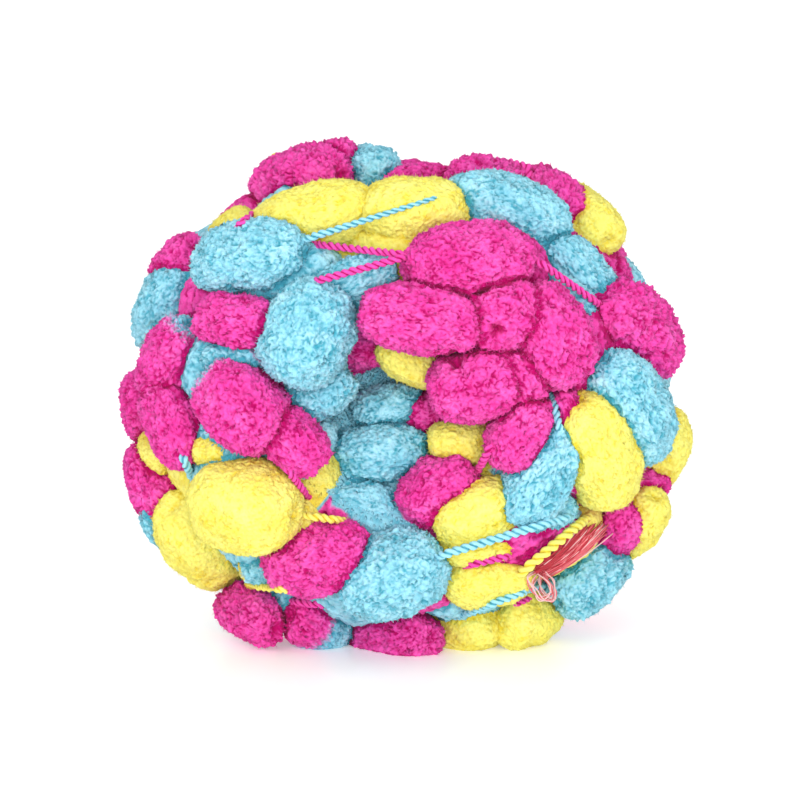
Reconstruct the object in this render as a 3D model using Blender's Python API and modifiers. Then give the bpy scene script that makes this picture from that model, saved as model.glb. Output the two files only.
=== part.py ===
"""A ball of pom pom yarn, as it comes from the winder: one long yarn of cut-pile pompoms joined by
thin twisted links, wound into a fat ball round a hollow, plus the tuft of sewing thread that ties it.

Frame: metres, +Z up. The ball stands on the flat spot that its own weight presses into it, at Z = 0,
with the origin under the middle of its box. The hollow of the wind faces -Y.

The front pompoms are placed the way they are measured: across and up in the picture plane, in
millimetres from the ball's middle, and a line of sight then carries each one back onto the wound form.
"""

import math
from collections import namedtuple

import bmesh
import bpy
from mathutils import Vector
from mathutils.bvhtree import BVHTree

MM = 0.001
YARN_COLOUR = (0.83, 0.06, 0.38)
THREAD_COLOUR = (0.80, 0.16, 0.22)

# Driving sizes of the ball, in millimetres, over the pile
BALL_WIDTH = 190.0
BALL_DEPTH = 150.0
BALL_HEIGHT = 168.0
POMPOM_LENGTH = 38.0
POMPOM_GIRTH = 27.0
LINK_DIAMETER = 3.2
THREAD_DIAMETER = 0.9

# The wound form runs through the middles of the outer pompoms: an ellipse seen from the front,
# and a drum with round edges seen from above
FORM_ROUNDNESS = 2.5
FORM_X = (BALL_WIDTH - POMPOM_GIRTH) / 2
FORM_Y = (BALL_DEPTH - POMPOM_GIRTH) / 2
FORM_Z = (BALL_HEIGHT - POMPOM_GIRTH) / 2
PRESSED_FLAT = 7.0
MIDDLE = Vector((-0.35, 2.03, BALL_HEIGHT / 2))

# The eye that the picture plane belongs to
EYE_DISTANCE = 1200.0
EYE_ELEVATION = math.radians(8.0)
LOOK = Vector((0.0, math.cos(EYE_ELEVATION), -math.sin(EYE_ELEVATION)))
RIGHT = Vector((1.0, 0.0, 0.0))
UPWARD = RIGHT.cross(LOOK)
EYE = MIDDLE - EYE_DISTANCE * LOOK

# How steeply a pompom near the outline may turn away from the picture plane, how edge-on the form
# is taken to be there at most, and where the pictured part ends, as a share of the ball's depth
STEEPEST_TURN = 1.2
LEAST_FACING = 0.05
PICTURE_EDGE = 0.1
SIGHT_HALVINGS = 40
NORMAL_STEP = 0.01

# Half the thickness of a pompom, square to the form, as a share of its girth, and the least it may be
PRESSED_THICKNESS = 0.52
LEAST_HALF_THICKNESS = 9.0

# Shape of a pompom: 2 is an ellipsoid, more is fuller at the ends
POMPOM_FULLNESS = 2.4

Seen = namedtuple("Seen", "colour across up length girth turn sink")
Pompom = namedtuple("Pompom", "colour middle along side out half_length half_girth half_thickness")

# Upper outline of the ball, from left to right: sizes in millimetres, turn in degrees above level,
# sink in millimetres below the wound form
TOP_TURNS = (
    Seen("pink", -78, 42, 30, 18, 45, 5),
    Seen("blue", -77, 27, 36, 22, 63, 0),
    Seen("blue", -49.5, 40.5, 44, 26, 8, -2),
    Seen("yellow", -59, 53, 26, 14, 35, 5),
    Seen("pink", -33.5, 66, 43, 26, 13, 0),
    Seen("pink", -23, 79, 18, 13, 8, 6),
    Seen("blue", -13, 74, 30, 19, -18, 4),
    Seen("yellow", -31, 55.5, 48, 24, 14, 2),
    Seen("yellow", 3.5, 57.5, 38, 24, 0, 1),
    Seen("pink", 6, 70, 34, 13, 3, 5),
    Seen("blue", 34, 57.5, 46, 26, -16, 1),
    Seen("pink", 31, 69.5, 46, 21, -4, 5),
    Seen("pink", 51, 64.5, 34, 20, -52, 4),
    Seen("yellow", 60.5, 56, 38, 21, -65, 2),
    Seen("blue", 60, 38, 34, 17, -45, 2),
    Seen("pink", 69, 38.5, 20, 14, -60, 3),
)

# Left flank, from the top down
LEFT_TURNS = (
    Seen("pink", -54.5, 20.5, 33, 21, -8, 0),
    Seen("blue", -57.5, 9.5, 28, 20, 20, 4),
    Seen("pink", -76.5, 7.5, 34, 22, 65, 0),
    Seen("pink", -75, -12, 35, 22, 112, 0),
    Seen("pink", -87, -7, 32, 18, 86, 2),
    Seen("yellow", -79.5, -19, 30, 15, -58, 0),
    Seen("yellow", -64, -21.5, 20, 14, 0, 4),
    Seen("pink", -83, -33, 34, 19, -65, 1),
    Seen("blue", -81, -47, 26, 16, -60, 4),
    Seen("yellow", -51, -38, 39, 31, -12, -3),
    Seen("yellow", -66.5, -50, 46, 27, -55, 0),
)

# Right flank, from the top down
RIGHT_TURNS = (
    Seen("pink", 74.5, 17.5, 42, 28, -45, -1),
    Seen("blue", 56, 29, 26, 13, -38, 4),
    Seen("blue", 72.5, -7, 46, 27, -62, -2),
    Seen("yellow", 63.5, -21.5, 45, 27, -70, 0),
    Seen("yellow", 86, -21, 34, 20, 78, 2),
    Seen("pink", 54, -11, 24, 12, 85, 3),
    Seen("pink", 83, -31, 24, 14, 60, 3),
    Seen("pink", 71, -48, 36, 20, 60, 2),
    Seen("yellow", 79, -46, 34, 17, 64, 2),
    Seen("blue", 61, -62.5, 34, 22, 40, 0),
)

# Lower front, from left to right
BOTTOM_TURNS = (
    Seen("pink", -51, -76, 33, 18, -13, 1),
    Seen("blue", -48, -61, 22, 15, 0, 4),
    Seen("blue", -43, -71, 26, 12, -10, 4),
    Seen("blue", -28, -80, 34, 20, -25, 2),
    Seen("pink", -28.5, -57, 39, 25, 8, 0),
    Seen("pink", -5, -78.5, 48, 22, 3, -3),
    Seen("blue", -4, -61, 40, 28, 17, -2),
    Seen("yellow", 26, -55, 30, 12, 10, 5),
    Seen("pink", 43, -53.5, 20, 10, 22, 4),
    Seen("yellow", 28, -64, 32, 19, 8, 1),
    Seen("yellow", 21, -79, 30, 23, 18, 1),
    Seen("yellow", 41, -77, 30, 20, 12, 1),
)

# Round the mouth of the hollow, clockwise from the upper left
RIM_TURNS = (
    Seen("blue", -31.5, 17, 38, 30, 65, -1),
    Seen("blue", -18, 34, 36, 18, 22, 3),
    Seen("pink", 38.5, -15.5, 29, 21, 68, 1),
    Seen("blue", 45, -30, 39, 22, 62, 0),
    Seen("blue", 48, -43, 26, 16, 15, 5),
    Seen("yellow", 25, -45, 32, 22, 25, 6),
    Seen("pink", -38, -18, 30, 20, -45, 2),
    Seen("pink", -52.5, -6.5, 35, 28, -45, -2),
)

# The tail of the yarn, tucked back over the mouth at the upper right, proud of the rest
TUCKED_TAIL = (
    Seen("pink", 20.5, 38, 45, 28, 8, -5),
    Seen("pink", 5.5, 21, 43, 24, -8, -7),
    Seen("pink", 31.5, 22, 30, 26, 20, -4),
    Seen("pink", 46.5, 16, 37, 28, -62, -3),
    Seen("pink", 36, 4, 28, 22, -20, 1),
    Seen("pink", 23.5, 0.5, 33, 26, 15, 0),
)

# Down in the hollow. A sink of more than the deep sink is taken along the line of sight
DEEP_SINK = 8.0
HOLLOW_TURNS = (
    Seen("blue", -28, -1, 26, 20, 30, 14),
    Seen("pink", -14, 13, 22, 16, 0, 28),
    Seen("yellow", 2, 8.5, 26, 16, -30, 16),
    Seen("blue", -5, -7, 28, 16, 10, 32),
    Seen("blue", -8.5, -22, 38, 23, 8, 29),
    Seen("blue", -14.5, -39.5, 32, 21, -8, 22),
    Seen("pink", 12, -35, 31, 24, 35, 14.5),
    Seen("yellow", 19, -19, 24, 17, 0, 20),
    Seen("yellow", -30, -16.5, 18, 14, 0, 22),
    Seen("yellow", -30, -29, 20, 19, -60, 20),
    Seen("pink", -32, -38.5, 16, 12, 60, 18),
    Seen("pink", 8, -9, 20, 16, 0, 32),
)

# Rings of pompoms on the sides and the back, out of the picture: polar is the angle from the front
# end of the wind's axis, tilt the angle of the pompoms to the ring, both in degrees; sink is below
# the wound form, and floor_sink is what it falls to where the ring lies on the floor
Ring = namedtuple("Ring", "polar count tilt start sink floor_sink")
OUTER_RINGS = (
    Ring(88, 14, 52, 13, 9, 0),
    Ring(104, 14, 52, 0, 6, 0),
    Ring(121, 13, 48, 4, 1, 0),
    Ring(139, 10, 35, 12, 0, 0),
    Ring(157, 7, -20, 30, 1, 1),
    Ring(174, 3, 15, 0, 7, 7),
)
UNDER_RINGS = (
    Ring(48, 10, -35, 20, 10, 10),
    Ring(66, 13, -40, 8, 11, 11),
    Ring(84, 14, -45, 16, 12, 12),
    Ring(102, 14, -45, 2, 12, 12),
    Ring(121, 12, -40, 18, 12, 12),
    Ring(141, 9, -30, 6, 12, 12),
    Ring(163, 5, 20, 25, 12, 12),
)
DYE_ORDER = ("pink", "blue", "yellow", "pink", "blue", "pink", "yellow", "blue")

# The wind is slack at the top of the rings: by its clock angle and its width in degrees, and how much
# deeper the pompoms lie there
SLACK_CLOCK = 84.0
SLACK_WIDTH = 13.0
SLACK_SINK = 6.0

# The middle of the wind, below the pompoms: its skin, and the well of the hollow in it
CORE_SINK = 7.0
WELL_RADIUS = 40.0
WELL_FLOOR = -20.0
CORE_STEPS = 24
CORE_SIDES = 48

# Bare links that show between the front pompoms: ends across and up in the picture plane, rise above
# what they pass over, and thickness as a share of the usual one
Link = namedtuple("Link", "colour from_across from_up to_across to_up rise size")
FRONT_LINKS = (
    Link("blue", -34, 48, 13, 63, 0.8, 0.95),
    Link("pink", -31, 47, 2, 43, 0.0, 0.9),
    Link("pink", -31, 34, 2, 43, 0.0, 0.9),
    Link("pink", 43, 42, 66, 26, 0.3, 0.9),
    Link("pink", -56, 52, -50, 57, 0.3, 0.9),
    Link("blue", -74, -22, -70.5, -30, 0.5, 1.0),
    Link("blue", 10, -57, 58, -42.5, 1.2, 1.0),
    Link("pink", 19, -60, 37, -56, 0.3, 0.9),
    Link("yellow", 37, -63.5, 62, -42.5, 2.4, 1.2),
    Link("blue", 18, -76.5, 47, -65.5, 0.5, 0.9),
    Link("pink", 33, -74, 44, -69.5, 0.2, 0.8),
    Link("yellow", -34, -43, -19, -45, 0.8, 0.95),
    Link("yellow", -53, -66, -37, -68, 0.5, 0.9),
    Link("pink", -39, -71, -25, -73, 0.3, 0.9),
    Link("blue", 49, -3, 52, -17, 0.8, 0.9),
    Link("pink", -40, -26, -31, -38, 0.8, 0.9),
    Link("pink", 30, -18, 24, -29, 0.3, 1.0),
)

# Bare links on the sides and the back: ends by polar angle from the front of the wind's axis and by
# clock angle from the right, in degrees
RoundLink = namedtuple("RoundLink", "colour from_polar from_clock to_polar to_clock")
ROUND_LINKS = (
    RoundLink("pink", 92, 62, 116, 80),
    RoundLink("yellow", 98, 118, 124, 104),
    RoundLink("blue", 104, 158, 132, 176),
    RoundLink("pink", 100, 196, 128, 212),
    RoundLink("yellow", 106, 338, 134, 318),
    RoundLink("blue", 96, 12, 124, 30),
    RoundLink("blue", 140, 70, 166, 110),
    RoundLink("pink", 146, 150, 168, 215),
    RoundLink("yellow", 142, 250, 165, 300),
    RoundLink("pink", 150, 330, 160, 20),
)
LINK_STEP = 4.0
LEAST_LINK_STEPS = 3
LINK_END_SINK = 5.0
LINK_SIDES = 6

# The solid's surface: the voxels that the pompoms are fused with, and the share of faces kept
FUSE_VOXEL = 2.0
FACES_KEPT = 0.082
FLOOR_DEPTH = 60.0

# The tuft of thread: its knot across and up in the picture plane, the strands that fan out of it by
# their tips and the offset of their roots, and the loops that hang from it by their corners and the
# directions of their two roots, in degrees from the right
Strand = namedtuple("Strand", "across up root")
Loop = namedtuple("Loop", "corners first_root last_root")
KNOT = (45.8, -63.0)
KNOT_HALF_SIZES = (3.8, 3.2, 2.2)
KNOT_TURN = math.radians(40.0)
FAN = (
    Strand(69.0, -48.5, -2.6),
    Strand(66.5, -47.0, -1.3),
    Strand(63.5, -47.0, 0.0),
    Strand(60.5, -48.5, 1.3),
    Strand(57.5, -51.5, 2.6),
)
LOOPS = (
    Loop(((43.0, -65.5), (42.0, -69.0), (44.3, -72.0), (46.2, -69.0)), 215, 250),
    Loop(((48.4, -68.0), (50.0, -71.5), (53.2, -70.5), (52.0, -66.5)), 285, 320),
)
LOOP_ROOT = 1.5
STRAND_STEPS = 8
STEPS_IN_KNOT = 2
LOOP_SPAN_STEPS = 3
THREAD_SIDES = 4
TUFT_CLEARANCE = 2.2


def clear_scene():
    for old in list(bpy.data.objects):
        bpy.data.objects.remove(old)


def new_collection(name):
    collection = bpy.data.collections.new(name)
    bpy.context.scene.collection.children.link(collection)
    return collection


def yarn_material(name, colour):
    material = bpy.data.materials.new(name)
    material.use_nodes = True
    shader = material.node_tree.nodes["Principled BSDF"]
    shader.inputs["Base Color"].default_value = (*colour, 1.0)
    shader.inputs["Roughness"].default_value = 0.95
    shader.inputs["Metallic"].default_value = 0.0
    return material


def form_value(point):
    """Below 1 inside the wound form, 1 on it, above 1 outside it."""
    local = point - MIDDLE
    half_height = FORM_Z if local.z > 0 else FORM_Z + PRESSED_FLAT
    round_part = math.hypot(local.x / FORM_X, local.z / half_height) ** FORM_ROUNDNESS
    return round_part + abs(local.y / FORM_Y) ** FORM_ROUNDNESS


def form_normal(point):
    slope = [
        form_value(point + NORMAL_STEP * axis) - form_value(point - NORMAL_STEP * axis)
        for axis in (Vector((1, 0, 0)), Vector((0, 1, 0)), Vector((0, 0, 1)))
    ]
    return Vector(slope).normalized()


def sight_line(across, up):
    """Direction from the eye through a point of the picture plane."""
    return (MIDDLE + across * RIGHT + up * UPWARD - EYE).normalized()


def seen_on_form(across, up):
    """Where a line of sight meets the wound form, or passes nearest to its middle if it misses."""
    line = sight_line(across, up)
    far = (MIDDLE - EYE).dot(line)
    if form_value(EYE + far * line) >= 1.0:
        return EYE + far * line
    near = far - BALL_DEPTH
    for _ in range(SIGHT_HALVINGS):
        halfway = (near + far) / 2
        if form_value(EYE + halfway * line) > 1.0:
            near = halfway
        else:
            far = halfway
    return EYE + far * line


def placed(colour, point, along, length, girth, inward):
    """A pompom at a point of the form, lying along a direction, pressed flat and carried inward."""
    out = form_normal(point)
    along = (along - along.dot(out) * out).normalized()
    half_thickness = max(PRESSED_THICKNESS * girth, LEAST_HALF_THICKNESS)
    return Pompom(
        colour, point + inward, along, out.cross(along), out, length / 2, girth / 2, half_thickness
    )


def seen_pompom(row):
    point = seen_on_form(row.across, row.up)
    out = form_normal(point)
    turn = math.radians(row.turn)
    flat = math.cos(turn) * RIGHT + math.sin(turn) * UPWARD
    facing = min(LOOK.dot(out), -LEAST_FACING)
    into = -flat.dot(out) / facing
    into = max(-STEEPEST_TURN, min(STEEPEST_TURN, into))
    nearness = (point - EYE).length / EYE_DISTANCE
    length, girth = row.length * nearness, row.girth * nearness
    inward = row.sink * (sight_line(row.across, row.up) if row.sink > DEEP_SINK else -out)
    return placed(row.colour, point, flat + into * LOOK, length, girth, inward)


def form_ray(polar, clock):
    """Direction from the ball's middle to a place of the form, by its two angles."""
    return Vector(
        (
            FORM_X * math.sin(polar) * math.cos(clock),
            -FORM_Y * math.cos(polar),
            FORM_Z * math.sin(polar) * math.sin(clock),
        )
    )


def ring_pompoms(ring, dye_start):
    """One ring of pompoms round the wind's axis, tilted as the winder lays them."""
    made = []
    tilt = math.radians(ring.tilt)
    for i in range(ring.count):
        clock = math.radians(ring.start) + 2 * math.pi * i / ring.count
        polar = math.radians(ring.polar)
        ray = form_ray(polar, clock)
        point = MIDDLE + ray / form_value(MIDDLE + ray) ** (1 / FORM_ROUNDNESS)
        out = form_normal(point)
        round_the_axis = Vector((-math.sin(clock), 0.0, math.cos(clock)))
        round_the_axis = (round_the_axis - round_the_axis.dot(out) * out).normalized()
        along = math.cos(tilt) * round_the_axis + math.sin(tilt) * out.cross(round_the_axis)
        colour = DYE_ORDER[(dye_start + 3 * i) % len(DYE_ORDER)]
        rests_on_floor = max(0.0, -math.sin(clock))
        sink = ring.sink + (ring.floor_sink - ring.sink) * rests_on_floor
        sink += SLACK_SINK * math.exp(-(((math.degrees(clock) - SLACK_CLOCK) / SLACK_WIDTH) ** 2))
        made.append(placed(colour, point, along, POMPOM_LENGTH, POMPOM_GIRTH, -sink * out))
    return made


def in_the_picture(pompom):
    """True where the measured pompoms already cover the form."""
    return (pompom.middle - MIDDLE).dot(LOOK) < -PICTURE_EDGE * BALL_DEPTH


def all_pompoms():
    tables = (TOP_TURNS, LEFT_TURNS, RIGHT_TURNS, BOTTOM_TURNS, RIM_TURNS, TUCKED_TAIL, HOLLOW_TURNS)
    pompoms = [seen_pompom(row) for table in tables for row in table]
    for dye_start, ring in enumerate(OUTER_RINGS):
        pompoms += [p for p in ring_pompoms(ring, dye_start) if not in_the_picture(p)]
    for dye_start, ring in enumerate(UNDER_RINGS):
        pompoms += ring_pompoms(ring, dye_start)
    return pompoms


def sight_distance(surface, across, up, spread):
    """How far the eye sees along a line, and along four more beside it, before it meets the surface."""
    beside = ((0, 0), (spread, 0), (-spread, 0), (0, spread), (0, -spread))
    reaches = []
    for more_across, more_up in beside:
        line = sight_line(across + more_across, up + more_up)
        reach = surface.ray_cast(EYE * MM, line)[3]
        if reach is not None:
            reaches.append(reach / MM)
    return min(reaches)


def pulled_taut(depths):
    """Depths along a thread once it is pulled tight: no lower than a straight span between two."""
    last = len(depths) - 1
    taut = []
    for i in range(last + 1):
        spans = [
            depths[j] + (depths[k] - depths[j]) * (i - j) / (k - j)
            for j in range(i)
            for k in range(i + 1, last + 1)
        ]
        taut.append(min(spans + [depths[i]]))
    return taut


def taut_over(surface, across_up, rise, spread):
    """Points of a thread pulled tight over a surface, from its places in the picture plane."""
    depths = pulled_taut([sight_distance(surface, *place, spread) - rise for place in across_up])
    return [EYE + depth * sight_line(*place) for depth, place in zip(depths, across_up)]


def straight(start, end, steps):
    """Evenly spaced places in the picture plane from start to end."""
    return [
        (start[0] + (end[0] - start[0]) * i / steps, start[1] + (end[1] - start[1]) * i / steps)
        for i in range(steps + 1)
    ]


def add_tube(shape, points, diameter, sides):
    """A closed round tube along a path, added to a mesh that is being built."""
    last = len(points) - 1
    rings = []
    across = LOOK
    for i, point in enumerate(points):
        forward = (points[min(i + 1, last)] - points[max(i - 1, 0)]).normalized()
        across = (across - across.dot(forward) * forward).normalized()
        beside = forward.cross(across)
        ring = []
        for k in range(sides):
            angle = 2 * math.pi * k / sides
            rim = point + diameter / 2 * (math.cos(angle) * across + math.sin(angle) * beside)
            ring.append(shape.verts.new(rim * MM))
        rings.append(ring)
    shape.faces.new(rings[0][::-1])
    shape.faces.new(rings[-1])
    for before, after in zip(rings, rings[1:]):
        for k in range(sides):
            following = (k + 1) % sides
            side = shape.faces.new((before[k], before[following], after[following], after[k]))
            side.smooth = True


def new_object(name, shape, collection):
    """An object from a finished bmesh."""
    mesh = bpy.data.meshes.new(name)
    shape.to_mesh(mesh)
    shape.free()
    made = bpy.data.objects.new(name, mesh)
    collection.objects.link(made)
    return made


def helper(obj):
    """Marks an object that only shapes another one."""
    obj.hide_render = True
    obj.display_type = "WIRE"
    return obj


def unit_sphere():
    """Directions and faces of the sphere that each pompom is stretched from."""
    sphere = bmesh.new()
    bmesh.ops.create_icosphere(sphere, subdivisions=3, radius=1.0)
    directions = [v.co.copy() for v in sphere.verts]
    faces = [tuple(v.index for v in f.verts) for f in sphere.faces]
    sphere.free()
    return directions, faces


def pompom_point(p, direction):
    """A point of a pompom's surface, fuller at its ends than an ellipsoid's."""
    fullness = sum(abs(c) ** POMPOM_FULLNESS for c in direction) ** (-1 / POMPOM_FULLNESS)
    x, y, z = direction * fullness
    return p.middle + x * p.half_length * p.along + y * p.half_girth * p.side + z * p.half_thickness * p.out


def add_pompom(shape, p, sphere):
    directions, faces = sphere
    verts = [shape.verts.new(pompom_point(p, direction) * MM) for direction in directions]
    for face in faces:
        shape.faces.new([verts[i] for i in face]).smooth = True


def add_core(shape):
    """The turned middle of the wind: the form taken in by the core's sink, with the well in front."""
    profile = []
    for i in range(CORE_STEPS + 1):
        polar = math.pi * i / CORE_STEPS
        radius = (FORM_X - CORE_SINK) * math.sin(polar)
        depth = -(FORM_Y - CORE_SINK) * math.cos(polar)
        fullness = math.sin(polar) ** FORM_ROUNDNESS + abs(math.cos(polar)) ** FORM_ROUNDNESS
        swell = fullness ** (-1 / FORM_ROUNDNESS)
        radius, depth = radius * swell, depth * swell
        if depth < 0 and radius < WELL_RADIUS:
            depth = WELL_FLOOR + (depth - WELL_FLOOR) * (radius / WELL_RADIUS) ** 2
        profile.append((radius, depth))
    rings = []
    for radius, depth in profile[1:-1]:
        ring = []
        for k in range(CORE_SIDES):
            clock = 2 * math.pi * k / CORE_SIDES
            half_height = FORM_Z if math.sin(clock) > 0 else FORM_Z + PRESSED_FLAT
            x, z = radius * math.cos(clock), radius * math.sin(clock) * half_height / FORM_X
            ring.append(shape.verts.new((MIDDLE + Vector((x, depth, z))) * MM))
        rings.append(ring)
    front = shape.verts.new((MIDDLE + Vector((0, profile[0][1], 0))) * MM)
    back = shape.verts.new((MIDDLE + Vector((0, profile[-1][1], 0))) * MM)
    for k in range(CORE_SIDES):
        after = (k + 1) % CORE_SIDES
        shape.faces.new((front, rings[0][k], rings[0][after]))
        shape.faces.new((back, rings[-1][after], rings[-1][k]))
        for inner, outer in zip(rings, rings[1:]):
            shape.faces.new((inner[k], outer[k], outer[after], inner[after]))
    bmesh.ops.recalc_face_normals(shape, faces=shape.faces)


def front_link_path(surface, link):
    """A link pulled taut over the front, its ends sunk into the pile."""
    start, end = (link.from_across, link.from_up), (link.to_across, link.to_up)
    steps = max(LEAST_LINK_STEPS, round(math.dist(start, end) / LINK_STEP))
    points = taut_over(surface, straight(start, end, steps), link.rise, 0.0)
    points[0] += LINK_END_SINK * sight_line(*start)
    points[-1] += LINK_END_SINK * sight_line(*end)
    return points


def round_link_path(surface, link):
    """A link pulled taut over the sides or the back, its ends sunk into the pile."""
    start = form_ray(math.radians(link.from_polar), math.radians(link.from_clock))
    end = form_ray(math.radians(link.to_polar), math.radians(link.to_clock))
    steps = max(LEAST_LINK_STEPS, round((end - start).length / LINK_STEP))
    rays = [start.lerp(end, i / steps).normalized() for i in range(steps + 1)]
    starts = [MIDDLE + BALL_WIDTH * ray for ray in rays]
    depths = pulled_taut([surface.ray_cast(at * MM, -ray)[3] / MM for at, ray in zip(starts, rays)])
    depths[0] += LINK_END_SINK
    depths[-1] += LINK_END_SINK
    return [at - depth * ray for at, ray, depth in zip(starts, rays, depths)]


def join(target, tools):
    """Unites a solid with each tool in turn."""
    for tool in tools:
        union = target.modifiers.new("Join " + tool.name, "BOOLEAN")
        union.operation = "UNION"
        union.object = helper(tool)


def build_ball(parts, helpers):
    """The wound yarn as one solid: core and pompoms fused, links joined on, the flat spot cut.

    Gives back the surface that the ball's tuft lies on.
    """
    shape = bmesh.new()
    add_core(shape)
    sphere = unit_sphere()
    for p in all_pompoms():
        add_pompom(shape, p, sphere)
    surface = BVHTree.FromBMesh(shape)
    paths = [(front_link_path(surface, link), LINK_DIAMETER * link.size) for link in FRONT_LINKS]
    paths += [(round_link_path(surface, link), LINK_DIAMETER) for link in ROUND_LINKS]
    covered = shape.copy()
    links = []
    for number, (path, diameter) in enumerate(paths):
        add_tube(covered, path, diameter, LINK_SIDES)
        tube = bmesh.new()
        add_tube(tube, path, diameter, LINK_SIDES)
        links.append(new_object(f"link_{number}", tube, helpers))
    surface = BVHTree.FromBMesh(covered)
    covered.free()

    ball = new_object("yarn_ball", shape, parts)
    ball.data.materials.append(yarn_material("pompom_yarn", YARN_COLOUR))
    fuse = ball.modifiers.new("Fuse", "REMESH")
    fuse.mode = "VOXEL"
    fuse.voxel_size = FUSE_VOXEL * MM
    fuse.use_smooth_shade = True
    thin = ball.modifiers.new("Thin", "DECIMATE")
    thin.ratio = FACES_KEPT
    join(ball, links)

    block = bmesh.new()
    bmesh.ops.create_cube(block, size=1.0)
    size = Vector((2 * BALL_WIDTH, 2 * BALL_DEPTH, FLOOR_DEPTH)) * MM
    bmesh.ops.scale(block, verts=block.verts, vec=size)
    bmesh.ops.translate(block, verts=block.verts, vec=(0, 0, -size.z / 2))
    press = ball.modifiers.new("Flat spot", "BOOLEAN")
    press.operation = "DIFFERENCE"
    press.object = helper(new_object("below_the_floor", block, helpers))
    return surface


def smooth_path(corners, steps):
    """A rounded path through corner points, by Catmull-Rom spans."""
    path = []
    for i in range(len(corners) - 1):
        before, start = corners[max(i - 1, 0)], corners[i]
        end, after = corners[i + 1], corners[min(i + 2, len(corners) - 1)]
        for k in range(steps):
            t = k / steps
            path.append(
                0.5 * (
                    2 * start
                    + t * (end - before)
                    + t**2 * (2 * before - 5 * start + 4 * end - after)
                    + t**3 * (3 * start - before - 3 * end + after)
                )
            )
    return path + [corners[-1]]


def build_tuft(surface, parts, helpers):
    """The tuft of thread: a knot with a fan of strands up and to the right, and two loops below."""
    knot_rise = TUFT_CLEARANCE + KNOT_HALF_SIZES[2]
    knot_middle = taut_over(surface, [KNOT], knot_rise, TUFT_CLEARANCE + KNOT_HALF_SIZES[1])[0]
    along = (math.cos(KNOT_TURN) * RIGHT + math.sin(KNOT_TURN) * UPWARD).normalized()
    side = (-math.sin(KNOT_TURN) * RIGHT + math.cos(KNOT_TURN) * UPWARD).normalized()
    knot = Pompom("thread", knot_middle, along, side, -LOOK, *KNOT_HALF_SIZES)
    shape = bmesh.new()
    add_pompom(shape, knot, unit_sphere())
    tuft = new_object("thread_tuft", shape, parts)
    tuft.data.materials.append(yarn_material("sewing_thread", THREAD_COLOUR))

    thread_rise = TUFT_CLEARANCE + THREAD_DIAMETER / 2
    paths = []
    for strand in FAN:
        root = (KNOT[0] - strand.root * math.sin(KNOT_TURN), KNOT[1] + strand.root * math.cos(KNOT_TURN))
        places = straight(root, (strand.across, strand.up), STRAND_STEPS)
        over = taut_over(surface, places, thread_rise, TUFT_CLEARANCE)
        paths.append([knot_middle + strand.root * side] + over[STEPS_IN_KNOT:])
    for loop in LOOPS:
        places = smooth_path([Vector(corner) for corner in loop.corners], LOOP_SPAN_STEPS)
        over = taut_over(surface, places, thread_rise, TUFT_CLEARANCE)
        first, last = [
            knot_middle + LOOP_ROOT * (math.cos(angle) * RIGHT + math.sin(angle) * UPWARD)
            for angle in (math.radians(loop.first_root), math.radians(loop.last_root))
        ]
        paths.append([first] + over + [last])
    threads = []
    for number, path in enumerate(paths):
        thread = bmesh.new()
        add_tube(thread, path, THREAD_DIAMETER, THREAD_SIDES)
        threads.append(new_object(f"thread_{number}", thread, helpers))
    join(tuft, threads)


def main():
    clear_scene()
    parts = new_collection("pom_pom_yarn_ball")
    helpers = new_collection("cutters")
    surface = build_ball(parts, helpers)
    build_tuft(surface, parts, helpers)


main()
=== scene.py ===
"""The looks of a ball of pom pom yarn: dense cut pile in dyed lengths of pink, turquoise and yellow,
bare two-ply links between the pompoms, and a loose tuft of sewing thread at the lower right.

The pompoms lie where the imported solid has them: the same tables of places, carried onto the same wound
form. Sizes are in millimetres until a mesh is made, and in the solid's frame: +Z up, the hollow of the
wind facing -Y.
"""

import math
from collections import namedtuple

import bmesh
import bpy
import numpy as np
from mathutils import Matrix, Vector
from mathutils.bvhtree import BVHTree
from mathutils.geometry import delaunay_2d_cdt


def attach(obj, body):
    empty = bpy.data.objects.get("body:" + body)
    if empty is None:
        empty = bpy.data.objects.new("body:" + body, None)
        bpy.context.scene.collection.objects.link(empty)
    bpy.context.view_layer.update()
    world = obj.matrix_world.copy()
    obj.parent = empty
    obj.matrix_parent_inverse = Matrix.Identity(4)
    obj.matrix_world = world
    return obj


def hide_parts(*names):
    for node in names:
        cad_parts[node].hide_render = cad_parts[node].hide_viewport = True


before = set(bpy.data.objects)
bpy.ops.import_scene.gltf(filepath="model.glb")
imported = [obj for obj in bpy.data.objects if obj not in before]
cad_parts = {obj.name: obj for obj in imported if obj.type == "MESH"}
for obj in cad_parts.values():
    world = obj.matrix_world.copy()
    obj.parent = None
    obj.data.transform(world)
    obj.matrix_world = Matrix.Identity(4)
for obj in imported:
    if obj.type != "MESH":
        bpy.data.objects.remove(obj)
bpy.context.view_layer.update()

MM = 0.001
BODY = "root"
SEED = 22

# Driving sizes of the ball, in millimetres, over the pile, as the solid has them
BALL_WIDTH = 190.0
BALL_DEPTH = 150.0
BALL_HEIGHT = 168.0
POMPOM_LENGTH = 38.0
POMPOM_GIRTH = 27.0

# The wound form runs through the middles of the outer pompoms
FORM_ROUNDNESS = 2.5
FORM_X = (BALL_WIDTH - POMPOM_GIRTH) / 2
FORM_Y = (BALL_DEPTH - POMPOM_GIRTH) / 2
FORM_Z = (BALL_HEIGHT - POMPOM_GIRTH) / 2
PRESSED_FLAT = 7.0
MIDDLE = np.array((-0.35, 2.03, BALL_HEIGHT / 2))

# The eye that the picture plane belongs to
EYE_DISTANCE = 1200.0
EYE_ELEVATION = math.radians(8.0)
LOOK = np.array((0.0, math.cos(EYE_ELEVATION), -math.sin(EYE_ELEVATION)))
RIGHT = np.array((1.0, 0.0, 0.0))
UPWARD = np.cross(RIGHT, LOOK)
EYE = MIDDLE - EYE_DISTANCE * LOOK

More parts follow.
